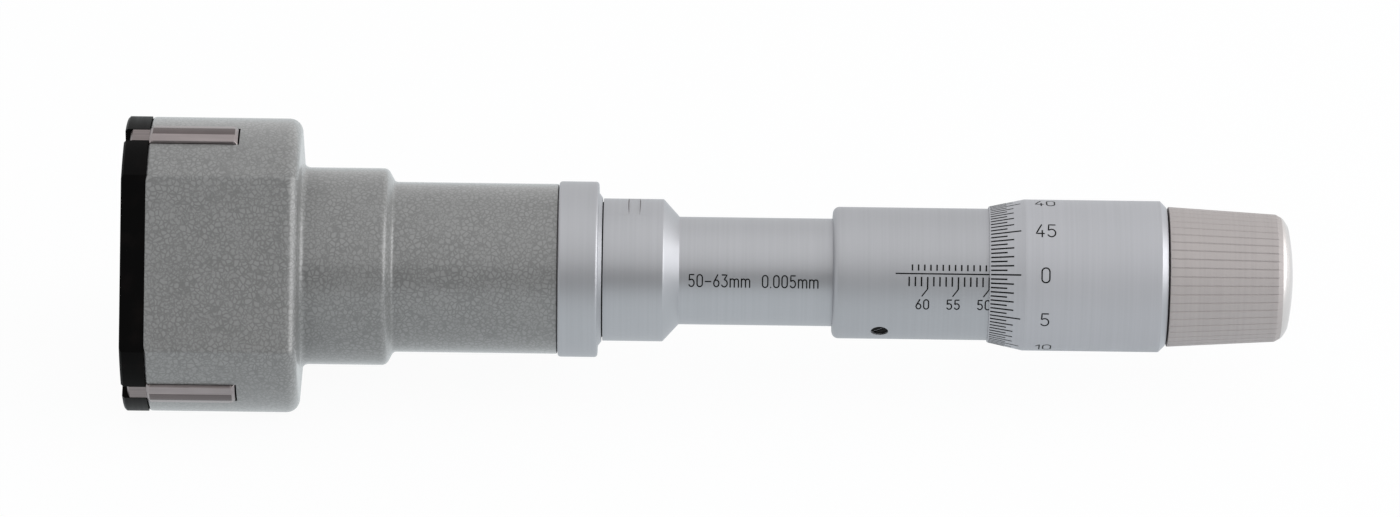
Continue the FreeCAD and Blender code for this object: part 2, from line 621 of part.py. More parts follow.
def make_cap_screws():
    """Countersunk screws, one below the axis and the others repeated round it."""
    shank = doc.addObject("Part::Cylinder", "screw_shank")
    bind(shank, "Radius", "screw_radius")
    shank.setExpression("Height", "Sizes.screw_length")
    head = doc.addObject("Part::Cone", "screw_head")
    bind(head, "Radius1", "screw_head_radius")
    bind(head, "Radius2", "screw_radius")
    bind(head, "Height", "screw_head_depth")
    whole = doc.addObject("Part::Fuse", "screw_whole")
    whole.Base = shank
    whole.Tool = head
    slot = doc.addObject("Part::Box", "screw_slot")
    slot.setExpression("Length", "2 * Sizes.sink_radius")
    bind(slot, "Width", "screw_slot_width")
    slot.setExpression("Height", "2 * Sizes.screw_slot_depth")
    slot.setExpression("Placement.Base.x", "-Sizes.sink_radius")
    slot.setExpression("Placement.Base.y", "-Sizes.screw_slot_width / 2")
    slot.setExpression("Placement.Base.z", "-Sizes.screw_slot_depth")
    screw = doc.addObject("Part::Cut", "screw")
    screw.Base = whole
    screw.Tool = slot
    doc.recompute()
    upright = FreeCAD.Rotation(FreeCAD.Vector(0, 1, 0), 90)
    screws = []
    for number in range(int(size("anvil_count"))):
        turn = FreeCAD.Rotation(FreeCAD.Vector(1, 0, 0), 360 / size("anvil_count") * number)
        place = turn.multVec(FreeCAD.Vector(0, 0, -size("screw_circle")))
        copy = screw.Shape.copy()
        copy.Placement = FreeCAD.Placement(place, turn.multiply(upright))
        screws.append(copy)
    group = doc.addObject("Part::Feature", "cap_screws")
    group.Shape = Part.makeCompound(screws)
    return group


def make_guide_bush():
    body = new_body("guide_bush")
    tube(body, "cone_bore_end", "bush_end", "bush_bore_radius", "bush_radius")
    return body


# Anvils, each made pointing up and turned to its direction
def make_anvil(number, angle):
    body = new_body(f"anvil_{number}", angle)
    bar = outline(body, f"anvil_bar_{number}", [
        ("bar_front", "anvil_inner"),
        ("nose_front", "anvil_inner"),
        ("bar_rear", "anvil_inner_rear"),
        ("bar_rear", "tip_seat"),
        ("bar_front", "tip_seat"),
    ])
    foot = outline(body, f"anvil_foot_{number}", [
        ("foot_setback", "foot_root"),
        ("bar_front", "foot_root"),
        ("bar_front", "foot_top"),
        ("foot_setback", "foot_top"),
    ])
    lug = outline(body, f"anvil_lug_{number}", [
        ("bar_rear", "lug_inner"),
        ("lug_rear", "lug_inner"),
        ("lug_rear", "lug_outer"),
        ("bar_rear", "lug_outer"),
    ])
    for sketch, width in ((bar, "anvil_width"), (foot, "foot_width"), (lug, "lug_width")):
        pad = body.newObject("PartDesign::Pad", f"{sketch.Name}_pad")
        pad.Profile = sketch
        pad.Midplane = True
        bind(pad, "Length", width)
        doc.recompute()
    front = [
        f"Edge{index}"
        for index, edge in enumerate(pad.Shape.Edges, 1)
        if edge.BoundBox.XMax < size("foot_setback") + 1e-6
        and edge.BoundBox.ZMin > size("foot_top") - 1e-6
    ]
    bevel = body.newObject("PartDesign::Chamfer", f"anvil_bevel_{number}")
    bevel.Base = (pad, front)
    bind(bevel, "Size", "foot_edge")
    doc.recompute()
    return body


def make_anvil_tip(number, angle):
    """Hard strip with a crowned measuring land and bevels on all sides."""
    body = new_body(f"anvil_tip_{number}", angle)
    section = outline(body, f"tip_section_{number}", [
        ("-tip_half", "tip_seat"),
        ("tip_half", "tip_seat"),
        ("tip_half", "tip_shoulder"),
        ("land_half", "land_edge"),
        ("-land_half", "land_edge"),
        ("-tip_half", "tip_shoulder"),
    ], plane="YZ_Plane", offset="bar_front", arcs={3: "-land_crown"})
    pad = body.newObject("PartDesign::Pad", f"tip_pad_{number}")
    pad.Profile = section
    bind(pad, "Length", "anvil_length")
    doc.recompute()
    ends = []
    for index, edge in enumerate(pad.Shape.Edges, 1):
        box = edge.BoundBox
        if box.XLength < 1e-6 and box.ZMin > size("tip_shoulder") - 1e-6:
            ends.append(f"Edge{index}")
    bevel = body.newObject("PartDesign::Chamfer", f"tip_bevel_{number}")
    bevel.Base = (pad, ends)
    bind(bevel, "Size", "tip_end_bevel")
    doc.recompute()
    return body


def make_anvil_spring(number, angle):
    body = new_body(f"anvil_spring_{number}", angle)
    coil(body, "anvil_spring_start", "anvil_spring_radius", "anvil_wire",
         "anvil_spring_length", "anvil_spring_turns", axis="V_Axis")
    bind(body, "Placement.Base.x", "anvil_spring_place")
    doc.recompute()
    return body


# Cone and what moves with it
def make_measuring_cone():
    body = new_body("measuring_cone")
    turned(body, [
        ("nose_front", "0"),
        ("nose_front", "nose_radius"),
        ("cone_rear", "cone_rear_radius"),
        ("cone_rear", "stem_radius"),
        ("stem_end", "stem_radius"),
        ("stem_end", "ball_seat_radius"),
        ("ball_seat_floor", "ball_seat_radius"),
        ("ball_seat_floor", "0"),
    ])
    return body


def make_spring_collar():
    body = new_body("spring_collar")
    tube(body, "collar_front", "collar_rear", "collar_bore_radius", "collar_radius")
    return body


def make_cone_spring():
    body = new_body("cone_return_spring")
    coil(body, "cone_spring_start", "cone_spring_radius", "cone_wire",
         "cone_spring_length", "cone_spring_turns")
    return body


def make_thrust_ball():
    ball = doc.addObject("Part::Sphere", "thrust_ball")
    bind(ball, "Radius", "ball_radius")
    bind(ball, "Placement.Base.x", "ball_place")
    return ball


# Handle
def make_ring_nut():
    body = new_body("ring_nut")
    blank = turned(body, [
        ("nut_front", "nut_thread_radius"),
        ("nut_front", "nut_radius"),
        ("nut_rear", "nut_radius"),
        ("nut_rear", "lip_radius"),
        ("lip_end", "lip_end_radius"),
        ("lip_end", "nut_bore_radius"),
        ("nut_web", "nut_bore_radius"),
        ("nut_web", "nut_thread_radius"),
    ])
    rims = [("nut_front", "nut_radius"), ("nut_rear", "nut_radius")]
    soften(body, blank, "Fillet", rims, "nut_edge")
    return body


def make_barrel():
    """Coupling, short cone and tube in one piece, with two spanner flats on the coupling."""
    body = new_body("barrel", size("spanner_angle") - 90)
    turned(body, [
        ("spigot_front", "barrel_bore_radius"),
        ("spigot_front", "spigot_radius"),
        ("head_end", "spigot_radius"),
        ("head_end", "flange_radius"),
        ("flange_rear", "flange_radius"),
        ("flange_rear", "coupling_radius"),
        ("lip_end", "coupling_radius"),
        ("lip_end", "relief_radius"),
        ("relief_end", "relief_radius"),
        ("relief_end", "coupling_radius"),
        ("coupling_end", "coupling_radius"),
        ("shoulder_end", "tube_radius"),
        ("barrel_end", "tube_radius"),
        ("barrel_end", "screw_nut_radius"),
        ("screw_nut_front", "screw_nut_radius"),
        ("screw_nut_front", "barrel_bore_radius"),
    ])
    band = outline(body, "spanner_band", [
        ("spanner_front", "-cut_reach"),
        ("spanner_rear", "-cut_reach"),
        ("spanner_rear", "cut_reach"),
        ("spanner_front", "cut_reach"),
    ], plane="XY_Plane", offset="spanner_distance")
    upper = cut(body, band, outwards=True)
    repeat(body, [upper], "spanner_count")
    return body


def make_scale_sleeve():
    body = new_body("scale_sleeve", size("lock_screw_angle") - 90)
    blank = tube(body, "sleeve_front", "sleeve_rear", "sleeve_bore_radius", "sleeve_radius")
    soften(body, blank, "Fillet", [("sleeve_front", "sleeve_radius")], "sleeve_edge")
    place = ring_sketch(
        body, "lock_hole", "lock_screw_centre", "0", "lock_hole_radius", "XY_Plane")
    cut(body, place, outwards=True)
    doc.recompute()
    return body


def make_sleeve_screw():
    """Slotted screw that bears on the barrel, pointing up and turned to its direction."""
    shank = doc.addObject("Part::Cylinder", "lock_shank")
    bind(shank, "Radius", "lock_screw_radius")
    shank.setExpression(
        "Height", "Sizes.sleeve_radius - Sizes.sleeve_bore_radius - Sizes.lock_screw_sink")
    bind(shank, "Placement.Base.z", "sleeve_bore_radius")
    slot = doc.addObject("Part::Box", "lock_slot")
    slot.setExpression("Length", "4 * Sizes.lock_screw_radius")
    bind(slot, "Width", "lock_slot_width")
    slot.setExpression("Height", "2 * Sizes.lock_slot_depth")
    slot.setExpression("Placement.Base.x", "-2 * Sizes.lock_screw_radius")
    slot.setExpression("Placement.Base.y", "-Sizes.lock_slot_width / 2")
    slot.setExpression(
        "Placement.Base.z", "Sizes.sleeve_radius - Sizes.lock_screw_sink - Sizes.lock_slot_depth")
    screw = doc.addObject("Part::Cut", "sleeve_set_screw")
    screw.Base = shank
    screw.Tool = slot
    turn = FreeCAD.Rotation(FreeCAD.Vector(1, 0, 0), size("lock_screw_angle") - 90)
    screw.Placement = FreeCAD.Placement(FreeCAD.Vector(), turn)
    bind(screw, "Placement.Base.x", "lock_screw_centre")
    return screw


def make_adjusting_nut():
    body = new_body("adjusting_nut")
    tube(body, "adjuster_front", "adjuster_rear", "sleeve_bore_radius", "adjuster_radius")
    notch = slot_cut(
        body, "notch", "adjuster_notch_front", "adjuster_rear", "adjuster_notch_half")
    repeat(body, [notch], "notch_count")
    return body


# Thimble and spindle
def make_spindle():
    body = new_body("spindle")
    turned(body, [
        ("spindle_tip", "0"),
        ("spindle_tip", "spindle_radius"),
        ("web_front", "spindle_radius"),
        ("web_front", "journal_radius"),
        ("journal_rear", "journal_radius"),
        ("journal_rear", "stub_hole_radius"),
        ("stub_hole_front", "stub_hole_radius"),
        ("stub_hole_front", "0"),
    ])
    return body


def make_thimble():
    body = new_body("thimble")
    turned(body, [
        ("thimble_front", "thimble_bore_radius"),
        ("thimble_front", "thimble_lip_radius"),
        ("bevel_end", "thimble_radius"),
        ("chamfer_front", "thimble_radius"),
        ("thimble_rear", "chamfer_radius"),
        ("thimble_rear", "web_bore_radius"),
        ("web_front", "web_bore_radius"),
        ("web_front", "thimble_bore_radius"),
    ])
    return body


# Ratchet
def make_ratchet_hub():
    body = new_body("ratchet_hub")
    turned(body, [
        ("stub_front", "0"),
        ("stub_front", "stub_radius"),
        ("thimble_rear", "stub_radius"),
        ("thimble_rear", "boss_radius"),
        ("hub_flange_front", "boss_radius"),
        ("hub_flange_front", "hub_flange_radius"),
        ("hub_flange_rear", "hub_flange_radius"),
        ("hub_flange_rear", "shaft_radius"),
        ("shaft_end", "shaft_radius"),
        ("shaft_end", "0"),
    ])
    return body


def face_teeth(body, foot, crest):
    """A ring of saw teeth on a face, each a wedge between foot and crest."""
    wedge = outline(body, f"{body.Label}_tooth", [
        (foot, "0"),
        (crest, "0"),
        (foot, "tooth_pitch"),
    ], plane="XY_Plane", offset="tooth_root_radius")
    tooth = body.newObject("PartDesign::Pad", f"{body.Label}_tooth_pad")
    tooth.Profile = wedge
    bind(tooth, "Length", "tooth_span")
    doc.recompute()
    repeat(body, [tooth], "tooth_count")


def make_ratchet_disc():
    body = new_body("ratchet_disc")
    tube(body, "disc_front", "disc_rear", "disc_bore_radius", "disc_radius")
    face_teeth(body, "disc_rear", "disc_crest")
    return body


def make_ratchet_spring():
    body = new_body("ratchet_spring")
    coil(body, "ratchet_spring_start", "ratchet_spring_radius", "ratchet_wire",
         "ratchet_spring_length", "ratchet_spring_turns")
    return body


def make_ratchet_knob():
    """Hollow tapered knob with a domed end, a ring groove, inner teeth and grip grooves."""
    body = new_body("ratchet_knob")
    blank = turned(body, [
        ("knob_front", "knob_bore_radius"),
        ("knob_front", "knob_front_radius"),
        ("taper_end", "knob_taper_radius"),
        ("knob_edge_end", "knob_edge_radius"),
        ("knob_face", "knob_face_radius"),
        ("knob_end", "0"),
        ("pilot_end", "0"),
        ("pilot_end", "disc_bore_radius"),
        ("knob_bore_end", "disc_bore_radius"),
        ("knob_bore_end", "knob_bore_radius"),
        ("ring_seat_rear", "knob_bore_radius"),
        ("ring_seat_rear", "ring_seat_radius"),
        ("ring_seat_front", "ring_seat_radius"),
        ("ring_seat_front", "knob_bore_radius"),
    ], arcs={4: "dome_radius"})
    rims = [("knob_edge_end", "knob_edge_radius"), ("knob_face", "knob_face_radius")]
    soften(body, blank, "Fillet", rims, "knob_round")
    face_teeth(body, "knob_bore_end", "knob_crest")
    notch = outline(body, "groove_section", [
        ("0", "groove_front_floor"),
        ("groove_half", "groove_rim"),
        ("groove_half", "groove_over_rim"),
        ("-groove_half", "groove_over_rim"),
        ("-groove_half", "groove_rim"),
    ], plane="YZ_Plane", offset="groove_front")
    path = new_sketch(body, "groove_path", "XZ_Plane")
    start = FreeCAD.Vector(size("groove_front"), size("groove_front_floor"), 0)
    end = FreeCAD.Vector(size("knob_face"), size("groove_end_floor"), 0)
    path.addGeometry(Part.LineSegment(start, end), False)
    fix_point(path, 0, 1, "groove_front", "groove_front_floor")
    fix_point(path, 0, 2, "knob_face", "groove_end_floor")
    doc.recompute()
    groove = body.newObject("PartDesign::SubtractivePipe", "grip_groove")
    groove.Profile = notch
    groove.Spine = (path, ["Edge1"])
    doc.recompute()
    repeat(body, [groove], "groove_count")
    return body


def make_retaining_ring():
    body = new_body("retaining_ring")
    tube(body, "ring_front", "ring_rear", "ring_bore_radius", "ring_radius")
    slot_cut(body, "opening", "ring_front", "ring_rear", "ring_opening_half")
    doc.recompute()
    return body


subparts = [
    make_head_body(),
    make_end_cap(),
    make_cap_screws(),
    make_guide_bush(),
    make_measuring_cone(),
    make_spring_collar(),
    make_cone_spring(),
    make_thrust_ball(),
    make_ring_nut(),
    make_barrel(),
    make_scale_sleeve(),
    make_sleeve_screw(),
    make_adjusting_nut(),
    make_spindle(),
    make_thimble(),
    make_ratchet_hub(),
    make_ratchet_disc(),
    make_ratchet_spring(),
    make_ratchet_knob(),
    make_retaining_ring(),
]
for number in range(1, int(size("anvil_count")) + 1):
    direction = 360 / size("anvil_count") * (number - 1)
    subparts.append(make_anvil(number, direction))
    subparts.append(make_anvil_tip(number, direction))
    subparts.append(make_anvil_spring(number, direction))
doc.recompute()

# Nothing is written unless every object is sound
for item in doc.Objects:
    if "Invalid" in item.State or "Error" in item.State:
        raise RuntimeError(f"{item.Label} failed: {item.State}")
for piece in subparts:
    if piece.Shape.isNull() or not piece.Shape.isValid():
        raise RuntimeError(f"{piece.Label} has no sound shape")

os.makedirs("parts", exist_ok=True)
for piece in subparts:
    piece.Shape.exportStep(f"parts/{piece.Label}.step")
    print(f"{piece.Label}: {len(piece.Shape.Solids)} solid, {piece.Shape.Volume:.1f} mm3")
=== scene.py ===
"""Looks of a three-point internal micrometer, built round its packed frame.

Lengths are in metres and angles in radians. X runs along the instrument from its front face to the
ratchet knob, and directions about X are counted from +Y towards +Z. The index line points to the
camera's side, so "down" on an engraved surface is a growing direction.
"""

import json
import math

import bmesh
import bpy
from mathutils import Matrix, Vector


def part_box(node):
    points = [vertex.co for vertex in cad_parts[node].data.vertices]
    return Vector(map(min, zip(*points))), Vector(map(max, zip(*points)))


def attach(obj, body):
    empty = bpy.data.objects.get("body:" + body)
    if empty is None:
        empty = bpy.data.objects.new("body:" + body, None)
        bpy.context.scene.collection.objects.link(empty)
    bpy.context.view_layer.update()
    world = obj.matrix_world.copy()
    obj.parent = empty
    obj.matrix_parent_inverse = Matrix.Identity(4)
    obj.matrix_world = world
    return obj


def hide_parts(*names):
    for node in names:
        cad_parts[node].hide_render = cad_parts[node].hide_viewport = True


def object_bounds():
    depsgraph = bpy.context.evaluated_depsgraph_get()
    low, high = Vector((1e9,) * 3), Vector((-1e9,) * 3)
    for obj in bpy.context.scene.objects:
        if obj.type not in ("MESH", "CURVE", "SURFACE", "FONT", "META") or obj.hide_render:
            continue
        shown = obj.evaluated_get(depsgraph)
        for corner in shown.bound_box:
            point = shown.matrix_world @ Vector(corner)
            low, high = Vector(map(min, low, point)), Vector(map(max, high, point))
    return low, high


bl_info = {
    "name": "Bore Micrometer Looks",
    "version": (1, 0, 0),
    "blender": (4, 5, 0),
    "location": "View3D > Sidebar > Micrometer",
    "description": "Finishes, engraving and studio for a three-point internal micrometer",
    "category": "Object",
}

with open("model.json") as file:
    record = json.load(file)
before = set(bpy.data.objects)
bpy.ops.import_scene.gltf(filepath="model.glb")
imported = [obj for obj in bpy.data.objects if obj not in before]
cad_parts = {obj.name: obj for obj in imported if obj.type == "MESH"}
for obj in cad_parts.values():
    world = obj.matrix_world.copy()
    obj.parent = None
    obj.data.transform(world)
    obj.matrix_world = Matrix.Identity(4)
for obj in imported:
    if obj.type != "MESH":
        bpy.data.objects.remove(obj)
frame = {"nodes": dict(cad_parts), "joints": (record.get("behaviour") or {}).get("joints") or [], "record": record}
CAD_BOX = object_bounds()

MM = 0.001
MERGE_DISTANCE = 0.0002 * MM
QUARTER = math.pi / 2
BACKWARDS = Matrix.Rotation(QUARTER, 4, "Y")
WHITE = (1.0, 1.0, 1.0, 1.0)
PHOTO_WIDTH = 1400
SENSOR_WIDTH = 36.0

# Sides of the turned shapes, and steps of the knob's dome and taper
HANDLE_SIDES = 144
SLEEVE_SIDES = 180
THIMBLE_SIDES = 200
SCREW_SIDES = 48
DOME_STEPS = 8
TAPER_STEPS = 12

# Roundings of small edges
NECK_END_ROUND = 0.2 * MM
CAP_HOLE_ROUND = 0.1 * MM
CAP_BEVEL_ROUND = 0.12 * MM
CAP_REAR_ROUND = 0.08 * MM
CAP_FLAT_ROUND = 0.25 * MM
NUT_LIP_ROUND = 0.03 * MM
RELIEF_ROUND = 0.06 * MM
THIMBLE_LIP_ROUND = 0.05 * MM
KNOB_FRONT_ROUND = 0.12 * MM
TAPER_END_ROUND = 0.25 * MM

# How far a cutting tool reaches past a face, and margins that tell one surface from another
OVERCUT = MM
SEAT_MARGIN = MM
WALL_MARGIN = 0.1 * MM
LAND_MARGIN = 0.08 * MM

# Readings of the sleeve in millimetres, and divisions of the thimble, two to a hundredth
LOWEST_READING = 50
HIGHEST_READING = 63
DIVISIONS = 100
RANGE_TEXT = f"{LOWEST_READING}-{HIGHEST_READING}mm 0.005mm"

# Soft boxes: place from the middle of the picture, width and height
SOFT_BOXES = {
    "ceiling": (Vector((0.0, 0.0, 0.9)), 1.4, 0.9),
    "side": (Vector((1.1, -0.15, 0.3)), 1.2, 1.2),
}
# Curtain: its left and right ends, its lower and upper edge, and its place on the camera's side
CURTAIN_ENDS = (-1.2, 1.4)
CURTAIN_EDGES = (0.02, 0.6)
CURTAIN_PLACE = -1.0
FLOOR_REACH = 6.0
FLOOR_GRAIN = 0.985


def front(node):
    """Place of a node's front end along the instrument."""
    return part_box(node)[0].x


def rear(node):
    """Place of a node's rear end along the instrument."""
    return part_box(node)[1].x


def stretch(node):
    """Places of a node's front and rear end."""
    return front(node), rear(node)


def reach(node):
    """Radius of a turned node."""
    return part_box(node)[1].y


def outward(direction, distance=1.0):
    """The point at a distance from the axis in a direction about it."""
    return Vector((0.0, distance * math.cos(direction), distance * math.sin(direction)))


def anvil_directions():
    """Directions in which the anvils slide, by the number of the anvil."""
    found = {}
    for joint in frame["joints"]:
        if joint["child"].startswith("anvil_"):
            found[joint["child"][-1]] = math.atan2(joint["axis"][2], joint["axis"][1])
    return found


ANVILS = anvil_directions()
FLATS = [direction + math.pi for direction in ANVILS.values()]


# Settings that a user would change
def length(name, description, millimetres):
    """A length property that shows in scene units."""
    return bpy.props.FloatProperty(
        name=name, description=description, default=millimetres * MM, min=0.0,
        precision=5, subtype="DISTANCE", unit="LENGTH")


def angle(name, description, degrees):
    """An angle property."""
    return bpy.props.FloatProperty(
        name=name, description=description, default=math.radians(degrees),
        subtype="ANGLE", unit="ROTATION")


def colour(name, description, red, green, blue):
    """A linear colour property."""
    return bpy.props.FloatVectorProperty(
        name=name, description=description, default=(red, green, blue), min=0.0, max=1.0,
        size=3, subtype="COLOR")


def amount(name, description, value):
    """A plain number property."""
    return bpy.props.FloatProperty(name=name, description=description, default=value, min=0.0)


class HeadSizes(bpy.types.PropertyGroup):
    """Sizes of the painted head and its end cap."""
    radius: length("Radius", "Round stretches of the head", 24.15)
    cap_radius: length("Cap radius", "Round stretches of the end cap", 24.2)
    flat_distance: length("Flats", "Flats to the axis", 19.5)
    flat_round: length("Flat rounding", "Rounding along the sides of the painted flats", 0.9)
    rear_place: length("Rear", "Rear face of the wide head", 28.6)
    front_round: length("Front rounding", "Painted edge beside the cap", 0.6)
    rear_round: length("Rear rounding", "Painted edge at the rear of the head", 2.2)
    step_radius: length("Step radius", "Step behind the head", 16.1)
    step_rear: length("Step rear", "Rear face of the step", 43.05)
    step_round: length("Step rounding", "Roundings of the step", 1.2)
    slant: length("Slant", "Slant of the step's rear shoulder to either side", 0.6)
    neck_radius: length("Neck radius", "Long neck", 13.9)
    neck_rear: length("Neck rear", "End of the painted neck", 70.4)
    neck_round: length("Neck rounding", "Hollow rounding of the neck", 0.8)
    thread_radius: length("Thread radius", "Threaded end inside the ring nut", 12.5)
    cone_play: length("Cone play", "Measuring cone to the bore around it", 0.35)
    bush_play: length("Bush play", "Guide bush to its bore", 0.02)
    spring_bore: length("Spring bore", "Bore round the return spring", 9.0)
    slot_width: length("Slot width", "Slots that the anvils slide in", 5.3)
    slot_gap: length("Slot gap", "Contact strip to the rear end of its slot", 0.25)
    recess_width: length("Recess width", "Recesses for the anvil springs", 3.4)
    recess_gap: length("Recess gap", "Anvil to the rear end of its recess", 0.3)
    recess_top: length("Recess top", "Outer end of the spring recesses to the axis", 22.5)
    tapped_end: length("Tapped holes", "Rear end of the screw holes in the head", 13.0)
    cap_hole: length("Cap hole", "Hole in the middle of the cap", 4.0)
    cap_bevel: length("Cap bevel", "Bevel round the cap's front", 0.4)
    cap_slot_width: length("Cap slot width", "Slots in the end cap", 3.8)
    cap_slot_root: length("Cap slot root", "Inner end of the slots in the cap", 12.0)
    screw_circle: length("Screw circle", "Cap screws to the axis", 15.0)
    sink_radius: length("Countersink", "Countersinks in the cap", 2.35)
    screw_hole: length("Screw hole", "Radius of the screw holes in the cap", 1.25)


class StripSizes(bpy.types.PropertyGroup):
    """Sizes of the hard contact strips on the anvils."""
    seat: length("Seat", "Underside of the strip to the axis", 22.5)
    top: length("Land", "Measuring land to the axis", 24.995)
    shoulder: length("Shoulder", "Outer end of the side bevels to the axis", 24.5)
    land_width: length("Land width", "Measuring land", 2.0)
    crown: length("Crown", "Radius of the measuring land", 12.0)
    end_bevel: length("End bevel", "Bevels at both ends", 0.6)
    edge_round: length("Edge rounding", "Worn edges of the strip", 0.1)


class HandleSizes(bpy.types.PropertyGroup):
    """Sizes of the ring nut, the barrel and the scale sleeve."""
    edge_round: length("Edge rounding", "Broken edges of turned pieces", 0.1)
    nut_round: length("Nut rounding", "Edges of the ring nut", 0.5)
    nut_rear: length("Nut rear", "Rear face of the ring nut", 77.0)
    nut_thread: length("Nut thread", "Threaded bore of the ring nut", 12.52)
    nut_web: length("Nut web", "Place of the web that pulls the barrel in", 75.42)
    nut_bore: length("Nut bore", "Bore of the ring nut's web", 11.66)
    lip_foot: length("Lip foot", "Foot of the conical lip", 12.6)
    lip_edge: length("Lip edge", "Rear edge of the conical lip", 11.78)
    spigot: length("Spigot", "Spigot in the head's bore", 8.95)
    spigot_end: length("Spigot end", "Face against the end of the head", 74.5)
    flange_radius: length("Flange radius", "Flange under the ring nut", 12.2)
    flange_end: length("Flange end", "Rear face of the flange", 75.4)
    coupling: length("Coupling", "Radius of the coupling", 11.64)
    coupling_end: length("Coupling end", "Rear end of the coupling", 87.6)
    relief_width: length("Relief", "Width of the relief groove", 0.2)
    relief_depth: length("Relief depth", "Depth of the relief groove", 0.6)
    shoulder_end: length("Shoulder end", "Rear end of the short cone", 90.2)
    shoulder_round: length("Shoulder rounding", "Edge in front of the short cone", 0.35)
    tube: length("Tube", "Radius of the long tube", 8.8)
    bore: length("Bore", "Free bore of the barrel", 5.0)
    nut_length: length("Threaded bore", "Length of the threaded bore", 24.0)
    thread_bore: length("Thread radius", "Radius of the threaded bore", 4.05)
    spanner_front: length("Spanner flats", "Front of the spanner flats", 81.95)
    spanner_width: length("Spanner width", "Width of the spanner flats", 1.75)
    spanner_distance: length("Spanner distance", "Spanner flats to the axis", 10.94)
    spanner_direction: angle("Spanner direction", "Direction of the first spanner flat", 80.0)
    spanner_lean: amount("Spanner lean", "Lean of the ends of the spanner flats", 0.25)
    sleeve: length("Sleeve", "Radius of the scale sleeve", 10.76)
    sleeve_bore: length("Sleeve bore", "Bore of the scale sleeve", 8.82)
    sleeve_round: length("Sleeve rounding", "Front edge of the scale sleeve", 1.1)
    screw_place: length("Lock screw", "Place of the lock screw", 123.0)
    screw_direction: angle("Lock screw direction", "Direction of the lock screw", 212.0)
    screw_hole: length("Lock screw hole", "Radius of the hole for the lock screw", 1.42)
    slot_width: length("Screw slot width", "Slot in the lock screw", 0.4)
    slot_depth: length("Screw slot depth", "Slot in the lock screw", 0.2)
    slot_angle: angle("Screw slot angle", "Slot of the lock screw against the instrument", 38.0)


class ThimbleSizes(bpy.types.PropertyGroup):
    """Sizes of the thimble and of the ratchet knob."""
    lip: length("Lip", "Radius of the thimble's front edge", 11.1)
    bevel: length("Bevel", "Length of the bevel with the divisions", 5.8)
    radius: length("Radius", "Thimble", 12.36)
    chamfer: length("Chamfer", "Rear edge of the thimble", 1.05)
    bore: length("Bore", "Bore of the thimble", 10.86)
    web: length("Web", "Thickness of the thimble's rear wall", 3.9)
    web_bore: length("Web bore", "Hole in the thimble's rear wall", 3.02)
    knob_front: length("Knob front", "Radius at the front of the knob", 11.44)
    taper: length("Taper", "Length of the knob's taper", 17.6)
    taper_radius: length("Taper radius", "Radius at the end of the taper", 10.41)
    edge: length("Edge", "Length of the knob's chamfer", 1.2)
    edge_radius: length("Edge radius", "Radius at the end of the chamfer", 9.75)
    face_radius: length("Face radius", "Radius of the domed end", 8.5)
    dome: length("Dome", "Height of the domed end", 0.9)
    knob_round: length("Knob rounding", "Softened rear edges of the knob", 1.6)
    knob_bore: length("Knob bore", "Hollow of the knob", 8.6)
    knob_bore_depth: length("Knob bore depth", "Hollow of the knob", 12.8)
    pilot: length("Pilot", "Radius of the shaft's seat in the knob", 3.05)
    pilot_depth: length("Pilot depth", "Depth of the shaft's seat in the knob", 3.6)
    ring_play: length("Ring play", "Retaining ring in its groove", 0.1)
    groove_count: bpy.props.IntProperty(
        name="Grooves", description="Grip grooves round the knob", default=48, min=12)
    groove_width: length("Groove width", "Grip grooves at the surface", 0.3)
    groove_depth: length("Groove depth", "Grip grooves", 0.12)


class EngravingSizes(bpy.types.PropertyGroup):
    """Sizes of the scales and numerals."""
    index_direction: angle("Index direction", "Direction of the index line", 150.0)
    lift: length("Lift", "Filling above the surface", 0.012)
    sink: length("Sink", "Filling below the surface", 0.05)
    mark_width: length("Mark width", "Scale marks", 0.25)
    index_width: length("Index width", "Index line", 0.22)
    letter_width: length("Letter width", "Strokes of the small characters", 0.22)
    bold_width: length("Bold width", "Strokes of the thimble's numerals", 0.23)
    index_start: length("Index start", "Front end of the index line", 125.4)
    edge_margin: length("Edge margin", "Lowest mark in front of the thimble's edge", 0.08)
    mark_gap: length("Mark gap", "Index line to the millimetre marks", 0.5)
    whole_mark: length("Millimetre marks", "Lower end of the millimetre marks", 2.06)
    fifth_mark: length("Fifth marks", "Lower end of every fifth mark", 2.5)
    tail_drop: length("Tail drop", "Lower end of the slanted tails", 3.7)
    tail_shift: length("Tail shift", "Front end of the slanted tails", 0.88)
    half_mark: length("Half marks", "Upper end of the half-millimetre marks", 1.5)
    numeral_height: length("Numeral height", "Numerals on the sleeve", 1.92)
    numeral_aspect: amount("Numeral aspect", "Width of the sleeve's numerals", 1.06)
    numeral_base: length("Numeral base", "Foot of the numerals below the index line", 6.16)
    numeral_shift: length("Numeral shift", "Numerals in front of their marks", 0.8)
    division_start: length("Division start", "Divisions behind the thimble's edge", 0.17)
    division_odd: length("Odd divisions", "Rear end of the odd divisions", 2.83)
    division_even: length("Even divisions", "Rear end of the even divisions", 3.9)
    division_tenth: length("Tenth divisions", "Rear end of every tenth division", 5.05)
    thimble_numeral: length("Thimble numerals", "Height of the thimble's numerals", 2.62)
    thimble_aspect: amount("Thimble numeral aspect", "Width of the thimble's numerals", 1.17)
    thimble_numeral_place: length("Thimble numeral place", "Numerals behind the edge", 9.05)
    text_height: length("Text height", "Range on the tube", 2.2)
    text_start: length("Text start", "Front end of the range on the tube", 91.72)
    text_drop: length("Text drop", "Middle of the range below the index direction", 1.62)


